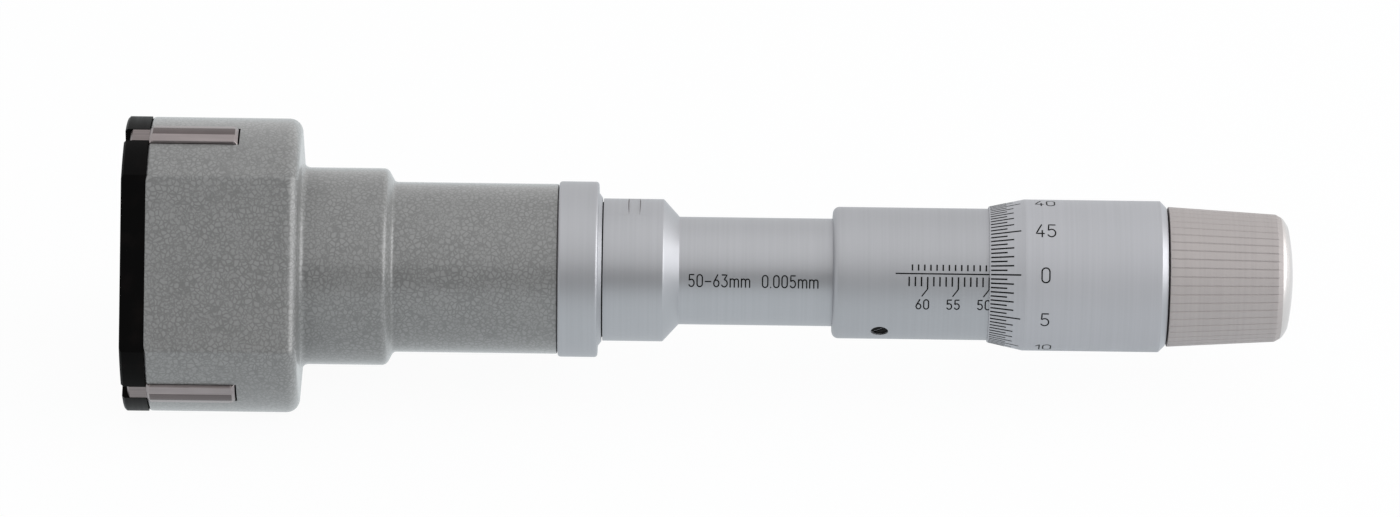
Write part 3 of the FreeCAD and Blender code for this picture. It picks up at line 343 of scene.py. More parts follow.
class FinishColours(bpy.types.PropertyGroup):
    """Colours of the finishes, in linear values."""
    paint: colour("Paint", "Light dimples of the hammered paint", 0.222, 0.225, 0.223)
    chrome: colour("Satin chrome", "Matt chromed pieces", 0.42, 0.425, 0.445)
    thimble: colour("Thimble chrome", "Thimble", 0.445, 0.45, 0.475)
    grip: colour("Grip chrome", "Ratchet knob", 0.43, 0.4, 0.395)
    # Painted highlight: the knob's end is a lighter copy of the grip chrome, on top of its real smoother, fully
    # metallic finish
    rim: colour("Rim chrome", "Bright end of the ratchet knob", 0.62, 0.59, 0.58)
    black: colour("Blackened steel", "End cap, small screws", 0.0016, 0.0015, 0.0015)
    strip: colour("Hard metal", "Sides of the contact strips", 0.30, 0.265, 0.265)
    # Painted shade: the lands are a darker copy of the strips' hard metal, standing for the shadowed floor they
    # reflect; their lower roughness is the real lapped finish
    land: colour("Lapped metal", "Measuring lands of the contact strips", 0.12, 0.1, 0.1)
    steel: colour("Ground steel", "Hidden steel pieces", 0.46, 0.45, 0.44)
    anvil: colour("Anvil steel", "Anvils", 0.2, 0.172, 0.17)
    wire: colour("Spring wire", "Springs", 0.33, 0.33, 0.34)
    brass: colour("Brass", "Guide bush", 0.62, 0.45, 0.19)
    ink: colour("Filled engraving", "Scales and numerals", 0.004, 0.004, 0.004)


class StudioSettings(bpy.types.PropertyGroup):
    """Floor, light and camera."""
    floor_colour: colour("Floor", "Pale floor", 0.88, 0.9, 0.92)
    floor_shine: colour("Floor reflection", "Floor as chrome reflects it", 0.93, 0.98, 1.0)
    ambient: amount("Ambient", "Light of the surroundings on matt surfaces", 0.78)
    ceiling: amount("Ceiling", "Radiance of the soft box overhead", 0.12)
    side: amount("Side", "Radiance of the soft box behind the knob", 2.4)
    background_share: amount("Background share", "White share of the floor in the picture", 0.95)
    curtain_shade: amount("Curtain", "Radiance of the curtain behind the camera", 0.3)
    camera_distance: length("Camera distance", "Camera to the axis", 1370.0)
    camera_elevation: angle("Camera elevation", "Camera above the floor", 30.0)
    camera_roll: angle("Camera roll", "Camera turned about its own axis", 0.747)
    camera_place: length("Camera place", "Point of the axis in the middle of the picture", 93.6)
    camera_rise: length("Camera rise", "Middle of the picture above the axis", 2.0)
    focal_pixels: amount("Focal length", "Focal length in pixels of the picture", 8371.0)


GROUPS = {
    "micrometer_head": HeadSizes,
    "micrometer_strip": StripSizes,
    "micrometer_handle": HandleSizes,
    "micrometer_thimble": ThimbleSizes,
    "micrometer_engraving": EngravingSizes,
    "micrometer_colours": FinishColours,
    "micrometer_studio": StudioSettings,
}


# Shader arithmetic
class Wire:
    """An output of a shader node that takes part in Python sums."""

    def __init__(self, graph, socket):
        self.graph = graph
        self.socket = socket

    def other(self, name):
        """Another output of the same node."""
        return Wire(self.graph, self.graph.pick(self.socket.node.outputs, name))

    def __add__(self, value):
        return self.graph.math("ADD", self, value)

    def __radd__(self, value):
        return self.graph.math("ADD", value, self)

    def __sub__(self, value):
        return self.graph.math("SUBTRACT", self, value)

    def __rsub__(self, value):
        return self.graph.math("SUBTRACT", value, self)

    def __mul__(self, value):
        return self.graph.math("MULTIPLY", self, value)

    def __rmul__(self, value):
        return self.graph.math("MULTIPLY", value, self)


class Graph:
    """The node tree of one material or world."""

    def __init__(self, tree):
        self.tree = tree
        tree.nodes.clear()

    @staticmethod
    def pick(sockets, key):
        """A socket by its number, or by its name among those in use."""
        if isinstance(key, int):
            return sockets[key]
        return next(socket for socket in sockets if socket.enabled and socket.name == key)

    def node(self, kind, settings=None, inputs=None, output=0):
        """Add a node: its settings first, then the values or links of its sockets."""
        node = self.tree.nodes.new(kind)
        for name, value in (settings or {}).items():
            setattr(node, name, value)
        for key, value in (inputs or {}).items():
            socket = self.pick(node.inputs, key)
            if isinstance(value, Wire):
                self.tree.links.new(value.socket, socket)
            else:
                socket.default_value = value
        return Wire(self, self.pick(node.outputs, output)) if node.outputs else None

    def math(self, operation, first, second):
        """Arithmetic on two numbers."""
        return self.node("ShaderNodeMath", {"operation": operation}, {0: first, 1: second})

    def vector(self, operation, first, second, output="Vector"):
        """Arithmetic on two vectors."""
        return self.node(
            "ShaderNodeVectorMath", {"operation": operation}, {0: first, 1: second}, output)

    def blend(self, factor, first, second):
        """A colour between two others."""
        return self.node(
            "ShaderNodeMix", {"data_type": "RGBA"},
            {"Factor": factor, "A": first, "B": second}, "Result")

    def fade(self, value, low, high, start=0.0, end=1.0):
        """A soft step from start to end while a value goes from low to high."""
        return self.node(
            "ShaderNodeMapRange", {"interpolation_type": "SMOOTHSTEP"},
            {"Value": value, "From Min": low, "From Max": high, "To Min": start, "To Max": end},
            "Result")

    def place(self):
        """Position on the object, in metres."""
        return self.node("ShaderNodeTexCoord", {}, {}, "Object")

    def noise(self, vector, scale, detail=2.0, output="Fac"):
        """Smooth noise."""
        return self.node(
            "ShaderNodeTexNoise", {}, {"Vector": vector, "Scale": scale, "Detail": detail}, output)

    def dimples(self, vector, scale):
        """Soft patches that are one in the middle and none at the net between them."""
        edge = self.node(
            "ShaderNodeTexVoronoi", {"feature": "DISTANCE_TO_EDGE"},
            {"Vector": vector, "Scale": scale}, "Distance")
        return self.fade(edge, -0.06, 0.32)

    def stretched(self, along, across):
        """Position in which lines run round the instrument, on faces as well as on rounds."""
        place = self.place()
        flat = self.vector("MULTIPLY", place, (0.0, 1.0, 1.0))
        radius = self.vector("LENGTH", flat, (0.0, 0.0, 0.0), "Value")
        spread = self.node(
            "ShaderNodeVectorMath", {"operation": "SCALE"}, {0: flat, "Scale": across})
        parts = self.node("ShaderNodeSeparateXYZ", {}, {0: place}, "X")
        line = (parts + radius) * along
        axial = self.node("ShaderNodeCombineXYZ", {}, {"X": line})
        return self.vector("ADD", axial, spread)

    def bump(self, height, strength, distance):
        """A normal bent by a height."""
        return self.node(
            "ShaderNodeBump", {},
            {"Strength": strength, "Distance": distance, "Height": height}, "Normal")

    def surface(self, inputs):
        """Close a material with one principled shader."""
        shader = self.node("ShaderNodeBsdfPrincipled", {}, inputs)
        self.node("ShaderNodeOutputMaterial", {}, {"Surface": shader})


def scaled(values, factor=1.0):
    """A colour property as sockets take it, made lighter or darker."""
    return (values[0] * factor, values[1] * factor, values[2] * factor, 1.0)


# Finishes
def hammered_paint(graph, base, roughness, contrast):
    """Hammer-finish paint: soft light dimples with a slightly darker net between them."""
    place = graph.place()
    sway = graph.noise(place, 700.0, output="Color")
    sway = graph.vector("SUBTRACT", sway, (0.5, 0.5, 0.5))
    sway = graph.vector("MULTIPLY", sway, (0.0009, 0.0009, 0.0009))
    swayed = graph.vector("ADD", place, sway)
    wide = graph.dimples(swayed, 1250.0)
    small = graph.dimples(swayed, 2000.0)
    drift = graph.noise(place, 160.0, 3.0)
    island = graph.fade(graph.noise(place, 380.0), 0.4, 0.62)
    body = wide * (1.0 - 0.6 * island) + small * (0.6 * island)
    tone = graph.fade(body + 0.4 * (drift - 0.5), 0.0, 0.9)
    graph.surface({
        "Base Color": graph.blend(tone, scaled(base, 1.0 - contrast), scaled(base)),
        "Metallic": 0.1,
        "Roughness": roughness + 0.1 * drift,
        "Coat Weight": 0.8,
        "Coat Roughness": 0.2,
        "Normal": graph.bump(body, 0.3, 0.00005),
    })


def blasted_chrome(graph, base, roughness, contrast):
    """Chrome over a blasted surface, which spreads the light widely."""
    brushed_metal(graph, base, roughness, contrast, 0.5)


def uneven(graph, base, contrast, lines, haze, share):
    """A metal's colour, made lighter and darker by its lines and, for a share, by a haze."""
    tone = graph.fade(lines * (1.0 - share) + haze * share, 0.3, 0.7)
    return graph.blend(tone, scaled(base, 1.0 - contrast), scaled(base, 1.0 + contrast))


def brushed_metal(graph, base, roughness, contrast, metallic=1.0):
    """Metal with fine lines round the instrument and faint uneven patches."""
    lines = graph.noise(graph.stretched(2600.0, 30.0), 1.0, 5.0)
    haze = graph.noise(graph.place(), 70.0, 4.0)
    graph.surface({
        "Base Color": uneven(graph, base, contrast, lines, haze, 0.3),
        "Metallic": metallic,
        "Roughness": roughness + 0.08 * (lines - 0.5) + 0.05 * (haze - 0.5),
        "Normal": graph.bump(lines, 0.12, 0.00001),
    })


def ground_along(graph, base, roughness, contrast):
    """Metal with grinding lines that run along the instrument."""
    drawn = graph.vector("MULTIPLY", graph.place(), (90.0, 5200.0, 5200.0))
    lines = graph.noise(drawn, 1.0, 4.0)
    haze = graph.noise(graph.place(), 300.0, 3.0)
    graph.surface({
        "Base Color": uneven(graph, base, contrast, lines, haze, 0.25),
        "Metallic": 1.0,
        "Roughness": roughness + 0.12 * (lines - 0.5),
        "Normal": graph.bump(lines, 0.15, 0.00001),
    })


def blackened_steel(graph, base, roughness, contrast):
    """Black oxide: nearly black, with a faint brown bloom and fine machining lines."""
    lines = graph.noise(graph.stretched(1900.0, 60.0), 1.0, 4.0)
    bloom = graph.fade(graph.noise(graph.place(), 260.0, 4.0), 0.45, 0.75)
    brown = (base[0] * 2.4, base[1] * 2.0, base[2] * 1.9, 1.0)
    graph.surface({
        "Base Color": graph.blend(bloom, scaled(base), brown),
        "Roughness": roughness + contrast * (lines - 0.5),
        "Specular IOR Level": 0.04,
        "Normal": graph.bump(lines, 0.1, 0.00002),
    })


def filled_engraving(graph, base, roughness, contrast):
    """Black filling of the engraved lines, worn a little unevenly."""
    wear = graph.noise(graph.place(), 2400.0, 3.0)
    tint = graph.blend(graph.fade(wear, 0.45, 0.8), scaled(base), scaled(base, 2.2))
    graph.surface({
        "Base Color": tint,
        "Roughness": roughness + contrast * (wear - 0.5),
        "Specular IOR Level": 0.1,
    })


# How each finish is made, its colour, its roughness and how far it varies
FINISHES = {
    "hammer_paint": (hammered_paint, "paint", 0.36, 0.36),
    "nut_chrome": (brushed_metal, "chrome", 0.48, 0.035),
    "barrel_chrome": (brushed_metal, "chrome", 0.45, 0.035),
    "sleeve_chrome": (brushed_metal, "chrome", 0.55, 0.035),
    "thimble_chrome": (blasted_chrome, "thimble", 0.62, 0.035),
    "chamfer_chrome": (brushed_metal, "thimble", 0.42, 0.035),
    "grip_chrome": (blasted_chrome, "grip", 0.7, 0.04),
    # Knob's end: the lighter rim colour is a painted highlight; its lower roughness is real
    "rim_chrome": (brushed_metal, "rim", 0.4, 0.04),
    "black_oxide": (blackened_steel, "black", 0.42, 0.15),
    "hard_metal": (ground_along, "strip", 0.34, 0.12),
    # Measuring lands: a darker copy of the hard metal as painted shade, with the smoother roughness of their real
    # lapping
    "lapped_metal": (ground_along, "land", 0.24, 0.1),
    "anvil_steel": (ground_along, "anvil", 0.36, 0.15),
    "ground_steel": (brushed_metal, "steel", 0.26, 0.1),
    "spring_steel": (brushed_metal, "wire", 0.35, 0.14),
    "bush_brass": (brushed_metal, "brass", 0.3, 0.1),
    "filled_engraving": (filled_engraving, "ink", 0.5, 0.2),
}


def new_material(title):
    """A new material and the graph that fills it."""
    material = bpy.data.materials.new(title)
    material.use_nodes = True
    return material, Graph(material.node_tree)


def finish(name):
    """The material of a finish, made when it is first asked for."""
    title = f"{name}_finish"
    material = bpy.data.materials.get(title)
    if material is None:
        material, graph = new_material(title)
        make, base, roughness, contrast = FINISHES[name]
        make(graph, getattr(bpy.context.scene.micrometer_colours, base), roughness, contrast)
    return material


# Turned shapes
def rounded(corners, steps=6):
    """Points of an outline through corners (place, radius, rounding), with arcs where rounded."""
    points = []
    for index, (place, radius, rounding) in enumerate(corners):
        corner = Vector((place, radius))
        if not rounding:
            points.append(corner)
            continue
        before = (Vector(corners[index - 1][:2]) - corner).normalized()
        after = (Vector(corners[(index + 1) % len(corners)][:2]) - corner).normalized()
        half = before.angle(after) / 2
        centre = corner + (before + after).normalized() * (rounding / math.sin(half))
        first = corner + before * (rounding / math.tan(half)) - centre
        last = corner + after * (rounding / math.tan(half)) - centre
        start = math.atan2(first.y, first.x)
        turn = (math.atan2(last.y, last.x) - start + math.pi) % (2 * math.pi) - math.pi
        for step in range(steps + 1):
            bearing = start + turn * step / steps
            points.append(centre + rounding * Vector((math.cos(bearing), math.sin(bearing))))
    return points


def circle(sides):
    """A section maker for plain turned pieces."""
    bearings = [2 * math.pi * side / sides for side in range(sides)]

    def section(place, radius):
        return [(radius * math.cos(b), radius * math.sin(b)) for b in bearings]

    return section


def flatted(distance_at, rounding, flat_steps=10, edge_steps=5, arc_steps=14):
    """A section maker for round pieces with a flat between each pair of anvils."""

    def wedge(distance, radius):
        """Points from the middle of a flat to the middle of the next arc, as (bearing, radius)."""
        edge = 0.0
        points = [(0.0, radius)] * (flat_steps + edge_steps)
        if radius > distance:
            centre = radius - rounding
            edge = math.acos((distance - rounding) / centre)
            side = centre * math.sin(edge)
            flat = [(side * step / flat_steps, distance) for step in range(flat_steps)]
            for step in range(edge_steps):
                bearing = edge * step / edge_steps
                flat.append((side + rounding * math.sin(bearing),
                             centre * math.cos(edge) + rounding * math.cos(bearing)))
            points = [(math.atan2(across, level), math.hypot(across, level))
                      for across, level in flat]
        share = math.pi / len(FLATS)
        for step in range(arc_steps + 1):
            points.append((edge + (share - edge) * step / arc_steps, radius))
        return points

    def section(place, radius):
        half = wedge(distance_at(place), radius)
        ring = []
        for flat in FLATS:
            ring += [(flat - bearing, level) for bearing, level in half[:0:-1]]
            ring += [(flat + bearing, level) for bearing, level in half[:-1]]
        return [(level * math.cos(b), level * math.sin(b)) for b, level in ring]

    return section


def bridge(shape, rows):
    """Join each ring of vertices to the next one."""
    for row, after in zip(rows, rows[1:]):
        for side in range(len(row)):
            beside = (side + 1) % len(row)
            shape.faces.new((row[side], row[beside], after[beside], after[side]))


def turned(outline, section, closed=True):
    """A bmesh whose rows are sections at the points of an outline."""
    shape = bmesh.new()
    rows = [
        [shape.verts.new((place, y, z)) for y, z in section(place, radius)]
        for place, radius in outline
    ]
    bridge(shape, rows + rows[:1] if closed else rows)
    bmesh.ops.remove_doubles(shape, verts=shape.verts, dist=MERGE_DISTANCE)
    bmesh.ops.recalc_face_normals(shape, faces=shape.faces)
    return shape


def linked(name, data):
    """An object of the scene with a mesh, a light or a camera."""
    item = bpy.data.objects.new(name, data)
    bpy.context.scene.collection.objects.link(item)
    return item


def new_object(name, shape):
    """An object from a bmesh, which is used up."""
    mesh = bpy.data.meshes.new(name)
    shape.to_mesh(mesh)
    shape.free()
    return linked(name, mesh)


def turn_to(direction):
    """Rotation about the axis that takes +Z to a direction."""
    return Matrix.Rotation(direction - QUARTER, 4, "X")


def block(start, end, inner, outer, half, direction, lean=0.0):
    """A box that points outwards in a direction, as a tool to cut with; its ends may lean out."""
    shape = bmesh.new()
    bmesh.ops.create_cube(shape, size=1.0)
    for vertex in shape.verts:
        if vertex.co.z > 0.0:
            vertex.co.x *= 1.0 + 2 * lean * (outer - inner) / (end - start)
    middle = Vector(((start + end) / 2, 0.0, (inner + outer) / 2))
    size = Matrix.Diagonal((end - start, 2 * half, outer - inner, 1.0))
    bmesh.ops.transform(
        shape, matrix=turn_to(direction) @ Matrix.Translation(middle) @ size, verts=shape.verts)
    return new_object("cutting_block", shape)


def drill(place, inner, outer, start_radius, end_radius, axis):
    """A cone or cylinder to cut with; axis is a matrix that takes +Z to the drilling direction."""
    shape = bmesh.new()
    bmesh.ops.create_cone(
        shape, cap_ends=True, segments=SCREW_SIDES, radius1=start_radius, radius2=end_radius,
        depth=outer - inner)
    lift = Matrix.Translation((0.0, 0.0, (inner + outer) / 2))
    bmesh.ops.transform(
        shape, matrix=Matrix.Translation(place) @ axis @ lift, verts=shape.verts)
    return new_object("cutting_drill", shape)


def carve(item, tools):
    """Cut tools out of an object and keep the result as its own mesh."""
    for tool in tools:
        cut = item.modifiers.new("cut", "BOOLEAN")
        cut.operation = "DIFFERENCE"
        cut.solver = "EXACT"
        cut.object = tool
    graph = bpy.context.evaluated_depsgraph_get()
    result = bpy.data.meshes.new_from_object(item.evaluated_get(graph))
    item.modifiers.clear()
    item.data = result
    for tool in tools:
        bpy.data.objects.remove(tool)


def show(item, body, finishes, nodes=(), smooth=35.0, inside=None):
    """Shade an object, hang it on its body and let it stand for its nodes.

    inside gives the number of the finish that the face at a centre takes.
    """
    mesh = item.data
    mesh.name = item.name
    mesh.materials.clear()
    for name in finishes:
        mesh.materials.append(finish(name))
    for face in mesh.polygons:
        face.material_index = int(inside(face.center)) if inside else 0
    mesh.shade_smooth()
    mesh.set_sharp_from_angle(angle=math.radians(smooth))
    weigh = item.modifiers.new("even_shading", "WEIGHTED_NORMAL")
    weigh.keep_sharp = True
    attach(item, body)
    if nodes:
        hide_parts(*nodes)


def off_axis(point):
    """Distance of a point from the instrument's axis."""
    return math.hypot(point.y, point.z)


# Engraving
def arc(x, y, width, height, start, end, steps=10):
    """Points of an elliptical arc between two angles in degrees."""
    points = []
    for step in range(steps + 1):
        bearing = math.radians(start + (end - start) * step / steps)
        points.append((x + width * math.cos(bearing), y + height * math.sin(bearing)))
    return points


# Strokes of single-line characters one unit high: width, then the strokes
CHARACTERS = {
    "0": (0.49, [arc(0.245, 0.755, 0.245, 0.245, 0, 180)
                 + arc(0.245, 0.245, 0.245, 0.245, 180, 360) + [(0.49, 0.755)]]),
    "1": (0.26, [[(0.0, 0.78), (0.26, 1.0), (0.26, 0.0)]]),
    "2": (0.49, [arc(0.245, 0.755, 0.245, 0.245, 170, -40) + [(0.0, 0.0), (0.49, 0.0)]]),
    "3": (0.49, [[(0.02, 1.0), (0.46, 1.0), (0.215, 0.6)]
                 + arc(0.215, 0.3, 0.275, 0.3, 80, -150)]),
    "4": (0.49, [[(0.33, 1.0), (0.0, 0.26), (0.49, 0.26)], [(0.37, 0.5), (0.37, 0.0)]]),
    "5": (0.49, [[(0.45, 1.0), (0.06, 1.0), (0.04, 0.54)]
                 + arc(0.235, 0.31, 0.255, 0.31, 130, -148)]),
    "6": (0.49, [arc(0.245, 0.29, 0.245, 0.29, 0, 360), [(0.36, 1.0), (0.03, 0.42)]]),
    "m": (0.709, [[(0.0, 0.0), (0.0, 0.68)], arc(0.177, 0.5, 0.177, 0.18, 180, 0) + [(0.354, 0.0)],
                  arc(0.532, 0.5, 0.177, 0.18, 180, 0) + [(0.709, 0.0)]]),
    "-": (0.5, [[(0.0, 0.44), (0.5, 0.44)]]),
    ".": (0.1, [[(0.05, 0.0), (0.05, 0.02)]]),
    " ": (0.61, []),
}
LETTER_GAP = 0.12
STROKE_STEP = 0.35 * MM
ROUND_ENDS = [(math.sin(b), math.cos(b)) for b in (1.4, 1.0, 0.5)]


def on_surface(radius_at, direction):
    """Maps flat drawing places (along, down, lift) to a turned surface."""

    def place(along, down, lift):
        radius = radius_at(along)
        bearing = direction + down / radius
        level = radius + lift
        return (along, level * math.cos(bearing), level * math.sin(bearing))

    return place


def stroke(shape, points, width, place, sizes, round_ends=True):
    """One engraved stroke: a thin filling that follows the surface."""
    path = [Vector(points[0])]
    for point in points[1:]:
        start = path[-1]
        step = Vector(point) - start
        pieces = max(1, math.ceil(step.length / STROKE_STEP))
        path += [start + step * (piece / pieces) for piece in range(1, pieces + 1)]
    closed = (path[0] - path[-1]).length < MERGE_DISTANCE
    if closed:
        path.pop()
    half = width / 2
    rails = []
    for index, point in enumerate(path):
        before = path[index - 1] if closed or index else point
        after = path[(index + 1) % len(path)] if closed or index < len(path) - 1 else point
        way = (after - before).normalized()
        rails.append((point, Vector((-way.y, way.x)) * half))
    if round_ends and not closed:
        first, last = rails[0], rails[-1]
        ahead = Vector((last[1].y, -last[1].x))
        behind = Vector((first[1].y, -first[1].x))
        rails = ([(first[0] - behind * far, first[1] * near) for far, near in ROUND_ENDS] + rails
                 + [(last[0] + ahead * far, last[1] * near) for far, near in ROUND_ENDS[::-1]])
    rings = []
    for point, side in rails:
        left, right = point + side, point - side
        rings.append([shape.verts.new(place(x, y, lift)) for x, y, lift in (
            (left.x, left.y, -sizes.sink), (right.x, right.y, -sizes.sink),
            (right.x, right.y, sizes.lift), (left.x, left.y, sizes.lift))])
    if not closed:
        shape.faces.new(rings[0][::-1])
        shape.faces.new(rings[-1])
    bridge(shape, rings + rings[:1] if closed else rings)


def write(shape, text, start, base, height, aspect, width, place, sizes, centred=False):
    """Write text along the instrument, its foot at a distance below the index line."""
    if centred:
        widths = [CHARACTERS[letter][0] for letter in text]
        start -= (sum(widths) + LETTER_GAP * (len(text) - 1)) * height * aspect / 2
    for letter in text:
        span, strokes = CHARACTERS[letter]
        wide = span * height * aspect
        for points in strokes:
            flat = [(start + width / 2 + x / span * (wide - width),
                     base - width / 2 - y * (height - width)) for x, y in points]
            stroke(shape, flat, width, place, sizes)
        start += wide + LETTER_GAP * height * aspect


def engraved(name, shape, body):
    """Close an engraving and hang it on its body."""
    bmesh.ops.recalc_face_normals(shape, faces=shape.faces)
    item = new_object(name, shape)
    show(item, body, ["filled_engraving"], smooth=50.0)


# Pieces
def screw_places(sizes, along):
    """Where the cap screws stand in a plane across the instrument."""
    return [Vector((along, 0.0, 0.0)) + outward(flat, sizes.screw_circle) for flat in FLATS]


class MICROMETER_OT_head(bpy.types.Operator):
    """Painted head with its flats, steps and anvil slots"""
    bl_idname = "micrometer.head"
    bl_label = "Head"

    def execute(self, context):
        sizes = context.scene.micrometer_head
        start, end = stretch("head_body")
        cone_bore = reach("measuring_cone") + sizes.cone_play
        bush_bore = reach("guide_bush") + sizes.bush_play
        bush_front, bush_rear = stretch("guide_bush")
        slot_end = rear("anvil_tip_1") + sizes.slot_gap
        recess_end = rear("anvil_1") + sizes.recess_gap
        outline = rounded([
            (start, cone_bore, 0.0),
            (start, sizes.radius, sizes.front_round),
            (slot_end, sizes.radius, 0.0),
            (sizes.rear_place, sizes.radius, sizes.rear_round),
            (sizes.rear_place, sizes.step_radius, sizes.step_round),
            (sizes.step_rear - sizes.slant, sizes.step_radius, sizes.step_round),
            (sizes.step_rear + sizes.slant, sizes.neck_radius, sizes.neck_round),
            (sizes.neck_rear, sizes.neck_radius, NECK_END_ROUND),
            (sizes.neck_rear, sizes.thread_radius, 0.0),
            (end, sizes.thread_radius, 0.0),
            (end, sizes.spring_bore, 0.0),
            (bush_rear, sizes.spring_bore, 0.0),
            (bush_rear, bush_bore, 0.0),
            (bush_front, bush_bore, 0.0),
            (bush_front, cone_bore, 0.0),
        ], steps=8)
        soft_start = sizes.rear_place - sizes.rear_round

        def flat_at(place):
            """Flats to the axis, rounded off at the rear like the round stretches."""
            into = min(max(place - soft_start, 0.0), sizes.rear_round)
            fall = sizes.rear_round - math.sqrt(sizes.rear_round ** 2 - into ** 2)
            return sizes.flat_distance - fall

        head = new_object("painted_head", turned(outline, flatted(flat_at, sizes.flat_round)))
        tools = []
        for direction in ANVILS.values():
            tools.append(block(start - OVERCUT, slot_end, 0.0, 2 * sizes.radius,
                               sizes.slot_width / 2, direction))
            tools.append(block(slot_end - OVERCUT, recess_end, 0.0, sizes.recess_top,
                               sizes.recess_width / 2, direction))
        for place in screw_places(sizes, start):
            tools.append(drill(place, -OVERCUT, sizes.tapped_end - start, sizes.screw_hole,
                               sizes.screw_hole, BACKWARDS))
        carve(head, tools)
        seat = sizes.flat_distance - SEAT_MARGIN
        slot_half = sizes.slot_width / 2 + MERGE_DISTANCE

        def bare(point):
            """Bores, holes, slots, recesses and the thread aren't painted."""
            level = off_axis(point)
            if level < cone_bore + MERGE_DISTANCE or point.x > sizes.neck_rear - MERGE_DISTANCE:
                return True
            if point.x < sizes.tapped_end + MERGE_DISTANCE and level < seat:
                return True
            end = recess_end if level < sizes.recess_top + MERGE_DISTANCE else slot_end
            return point.x < end + MERGE_DISTANCE and any(
                abs(point.dot(outward(a - QUARTER))) < slot_half and point.dot(outward(a)) > 0.0
                for a in ANVILS.values())

        show(head, "head", ["hammer_paint", "anvil_steel"],
             ["head_body"], inside=bare)
        return {"FINISHED"}


class MICROMETER_OT_end_cap(bpy.types.Operator):
    """Black end cap with slots for the anvils and countersunk screw holes"""
    bl_idname = "micrometer.end_cap"
    bl_label = "End cap"

    def execute(self, context):
        sizes = context.scene.micrometer_head
        start, end = stretch("end_cap")
        outline = rounded([
            (start, sizes.cap_hole, CAP_HOLE_ROUND),
            (start, sizes.cap_radius - sizes.cap_bevel, CAP_BEVEL_ROUND),
            (start + sizes.cap_bevel, sizes.cap_radius, CAP_BEVEL_ROUND),
            (end, sizes.cap_radius, CAP_REAR_ROUND),
            (end, sizes.cap_hole, 0.0),
        ], steps=3)
        section = flatted(lambda place: sizes.flat_distance, CAP_FLAT_ROUND)
        cap = new_object("cap_plate", turned(outline, section))
        tools = [
            block(start - OVERCUT, end + OVERCUT, sizes.cap_slot_root, 2 * sizes.radius,
                  sizes.cap_slot_width / 2, direction)
            for direction in ANVILS.values()
        ]
        hole = sizes.screw_hole
        for place in screw_places(sizes, start):
            tools.append(drill(place, -OVERCUT, sizes.sink_radius - hole,
                               sizes.sink_radius + OVERCUT, hole, BACKWARDS))
            tools.append(drill(place, 0.0, end + OVERCUT, hole, hole, BACKWARDS))
        carve(cap, tools)
        show(cap, "head", ["black_oxide"], ["end_cap"], smooth=30.0)
        return {"FINISHED"}


class MICROMETER_OT_contact_strips(bpy.types.Operator):
    """Hard contact strips with a crowned land and bevels on every side"""
    bl_idname = "micrometer.contact_strips"
    bl_label = "Contact strips"

    def execute(self, context):
        sizes = context.scene.micrometer_strip
        for number, direction in ANVILS.items():
            node = f"anvil_tip_{number}"
            shape = self.strip(sizes, *stretch(node), self.half_width(node, direction))
            bmesh.ops.transform(shape, matrix=turn_to(direction), verts=shape.verts)
            item = new_object(f"contact_strip_{number}", shape)
            out = outward(direction)
            # The lands take the darker finish, which paints shade into them
            show(item, f"anvil_{number}", ["hard_metal", "lapped_metal"], [node],
                 smooth=25.0, inside=lambda point: point.dot(out) > sizes.top - LAND_MARGIN)
        return {"FINISHED"}

    @staticmethod
    def half_width(node, direction):
        """Half the width of a strip, from its mesh seen along its direction."""
        mesh = frame["nodes"][node].data
        across = outward(direction - QUARTER)
        return max(abs(vertex.co.dot(across)) for vertex in mesh.vertices)

    @staticmethod
    def strip(sizes, start, end, half):
        """The strip pointing up: a section carried from end to end, lower at both ends."""
        land = sizes.land_width / 2
        edge = sizes.edge_round
        drop = sizes.crown - math.sqrt(sizes.crown ** 2 - land ** 2)
        crown = [(land * step / 4, sizes.top - drop * (step / 4) ** 2) for step in range(-4, 5)]
        worn_side = [(half, sizes.shoulder - edge),
                     (half - edge * 0.3, sizes.shoulder - edge * 0.3),
                     (half - edge, sizes.shoulder + edge * 0.33)]
        upper = [(-y, z) for y, z in worn_side] + crown + worn_side[::-1]
        bevel = sizes.end_bevel
        worn_end = [(0.0, bevel), (edge * 0.3, bevel - edge * 0.7), (bevel - edge, edge * 0.6),
                    (bevel, edge * 0.15), (bevel + edge, 0.0)]
        stations = [(start + inset, lowered) for inset, lowered in worn_end]
        stations += [(end - inset, lowered) for inset, lowered in worn_end[::-1]]
        shape = bmesh.new()
        rows = []
        for place, lowered in stations:
            section = [(-half, sizes.seat)] + [(y, z - lowered) for y, z in upper]
            section.append((half, sizes.seat))
            rows.append([shape.verts.new((place, y, z)) for y, z in section])
        bridge(shape, rows)
        shape.faces.new(rows[0])
        shape.faces.new(rows[-1][::-1])
        bmesh.ops.recalc_face_normals(shape, faces=shape.faces)
        return shape


class MICROMETER_OT_ring_nut(bpy.types.Operator):
    """Chromed ring nut with a conical lip"""
    bl_idname = "micrometer.ring_nut"
    bl_label = "Ring nut"

    def execute(self, context):
        sizes = context.scene.micrometer_handle
        start, end = stretch("ring_nut")
        radius = reach("ring_nut")
        outline = rounded([
            (start, sizes.nut_thread, 0.0),
            (start, radius, sizes.nut_round),
            (sizes.nut_rear, radius, sizes.nut_round),
            (sizes.nut_rear, sizes.lip_foot, 0.0),
            (end, sizes.lip_edge, NUT_LIP_ROUND),
            (end, sizes.nut_bore, 0.0),
            (sizes.nut_web, sizes.nut_bore, 0.0),
            (sizes.nut_web, sizes.nut_thread, 0.0),
        ])
        nut = new_object("joining_nut", turned(outline, circle(HANDLE_SIDES)))
        show(nut, "head", ["nut_chrome"], ["ring_nut"])
        return {"FINISHED"}


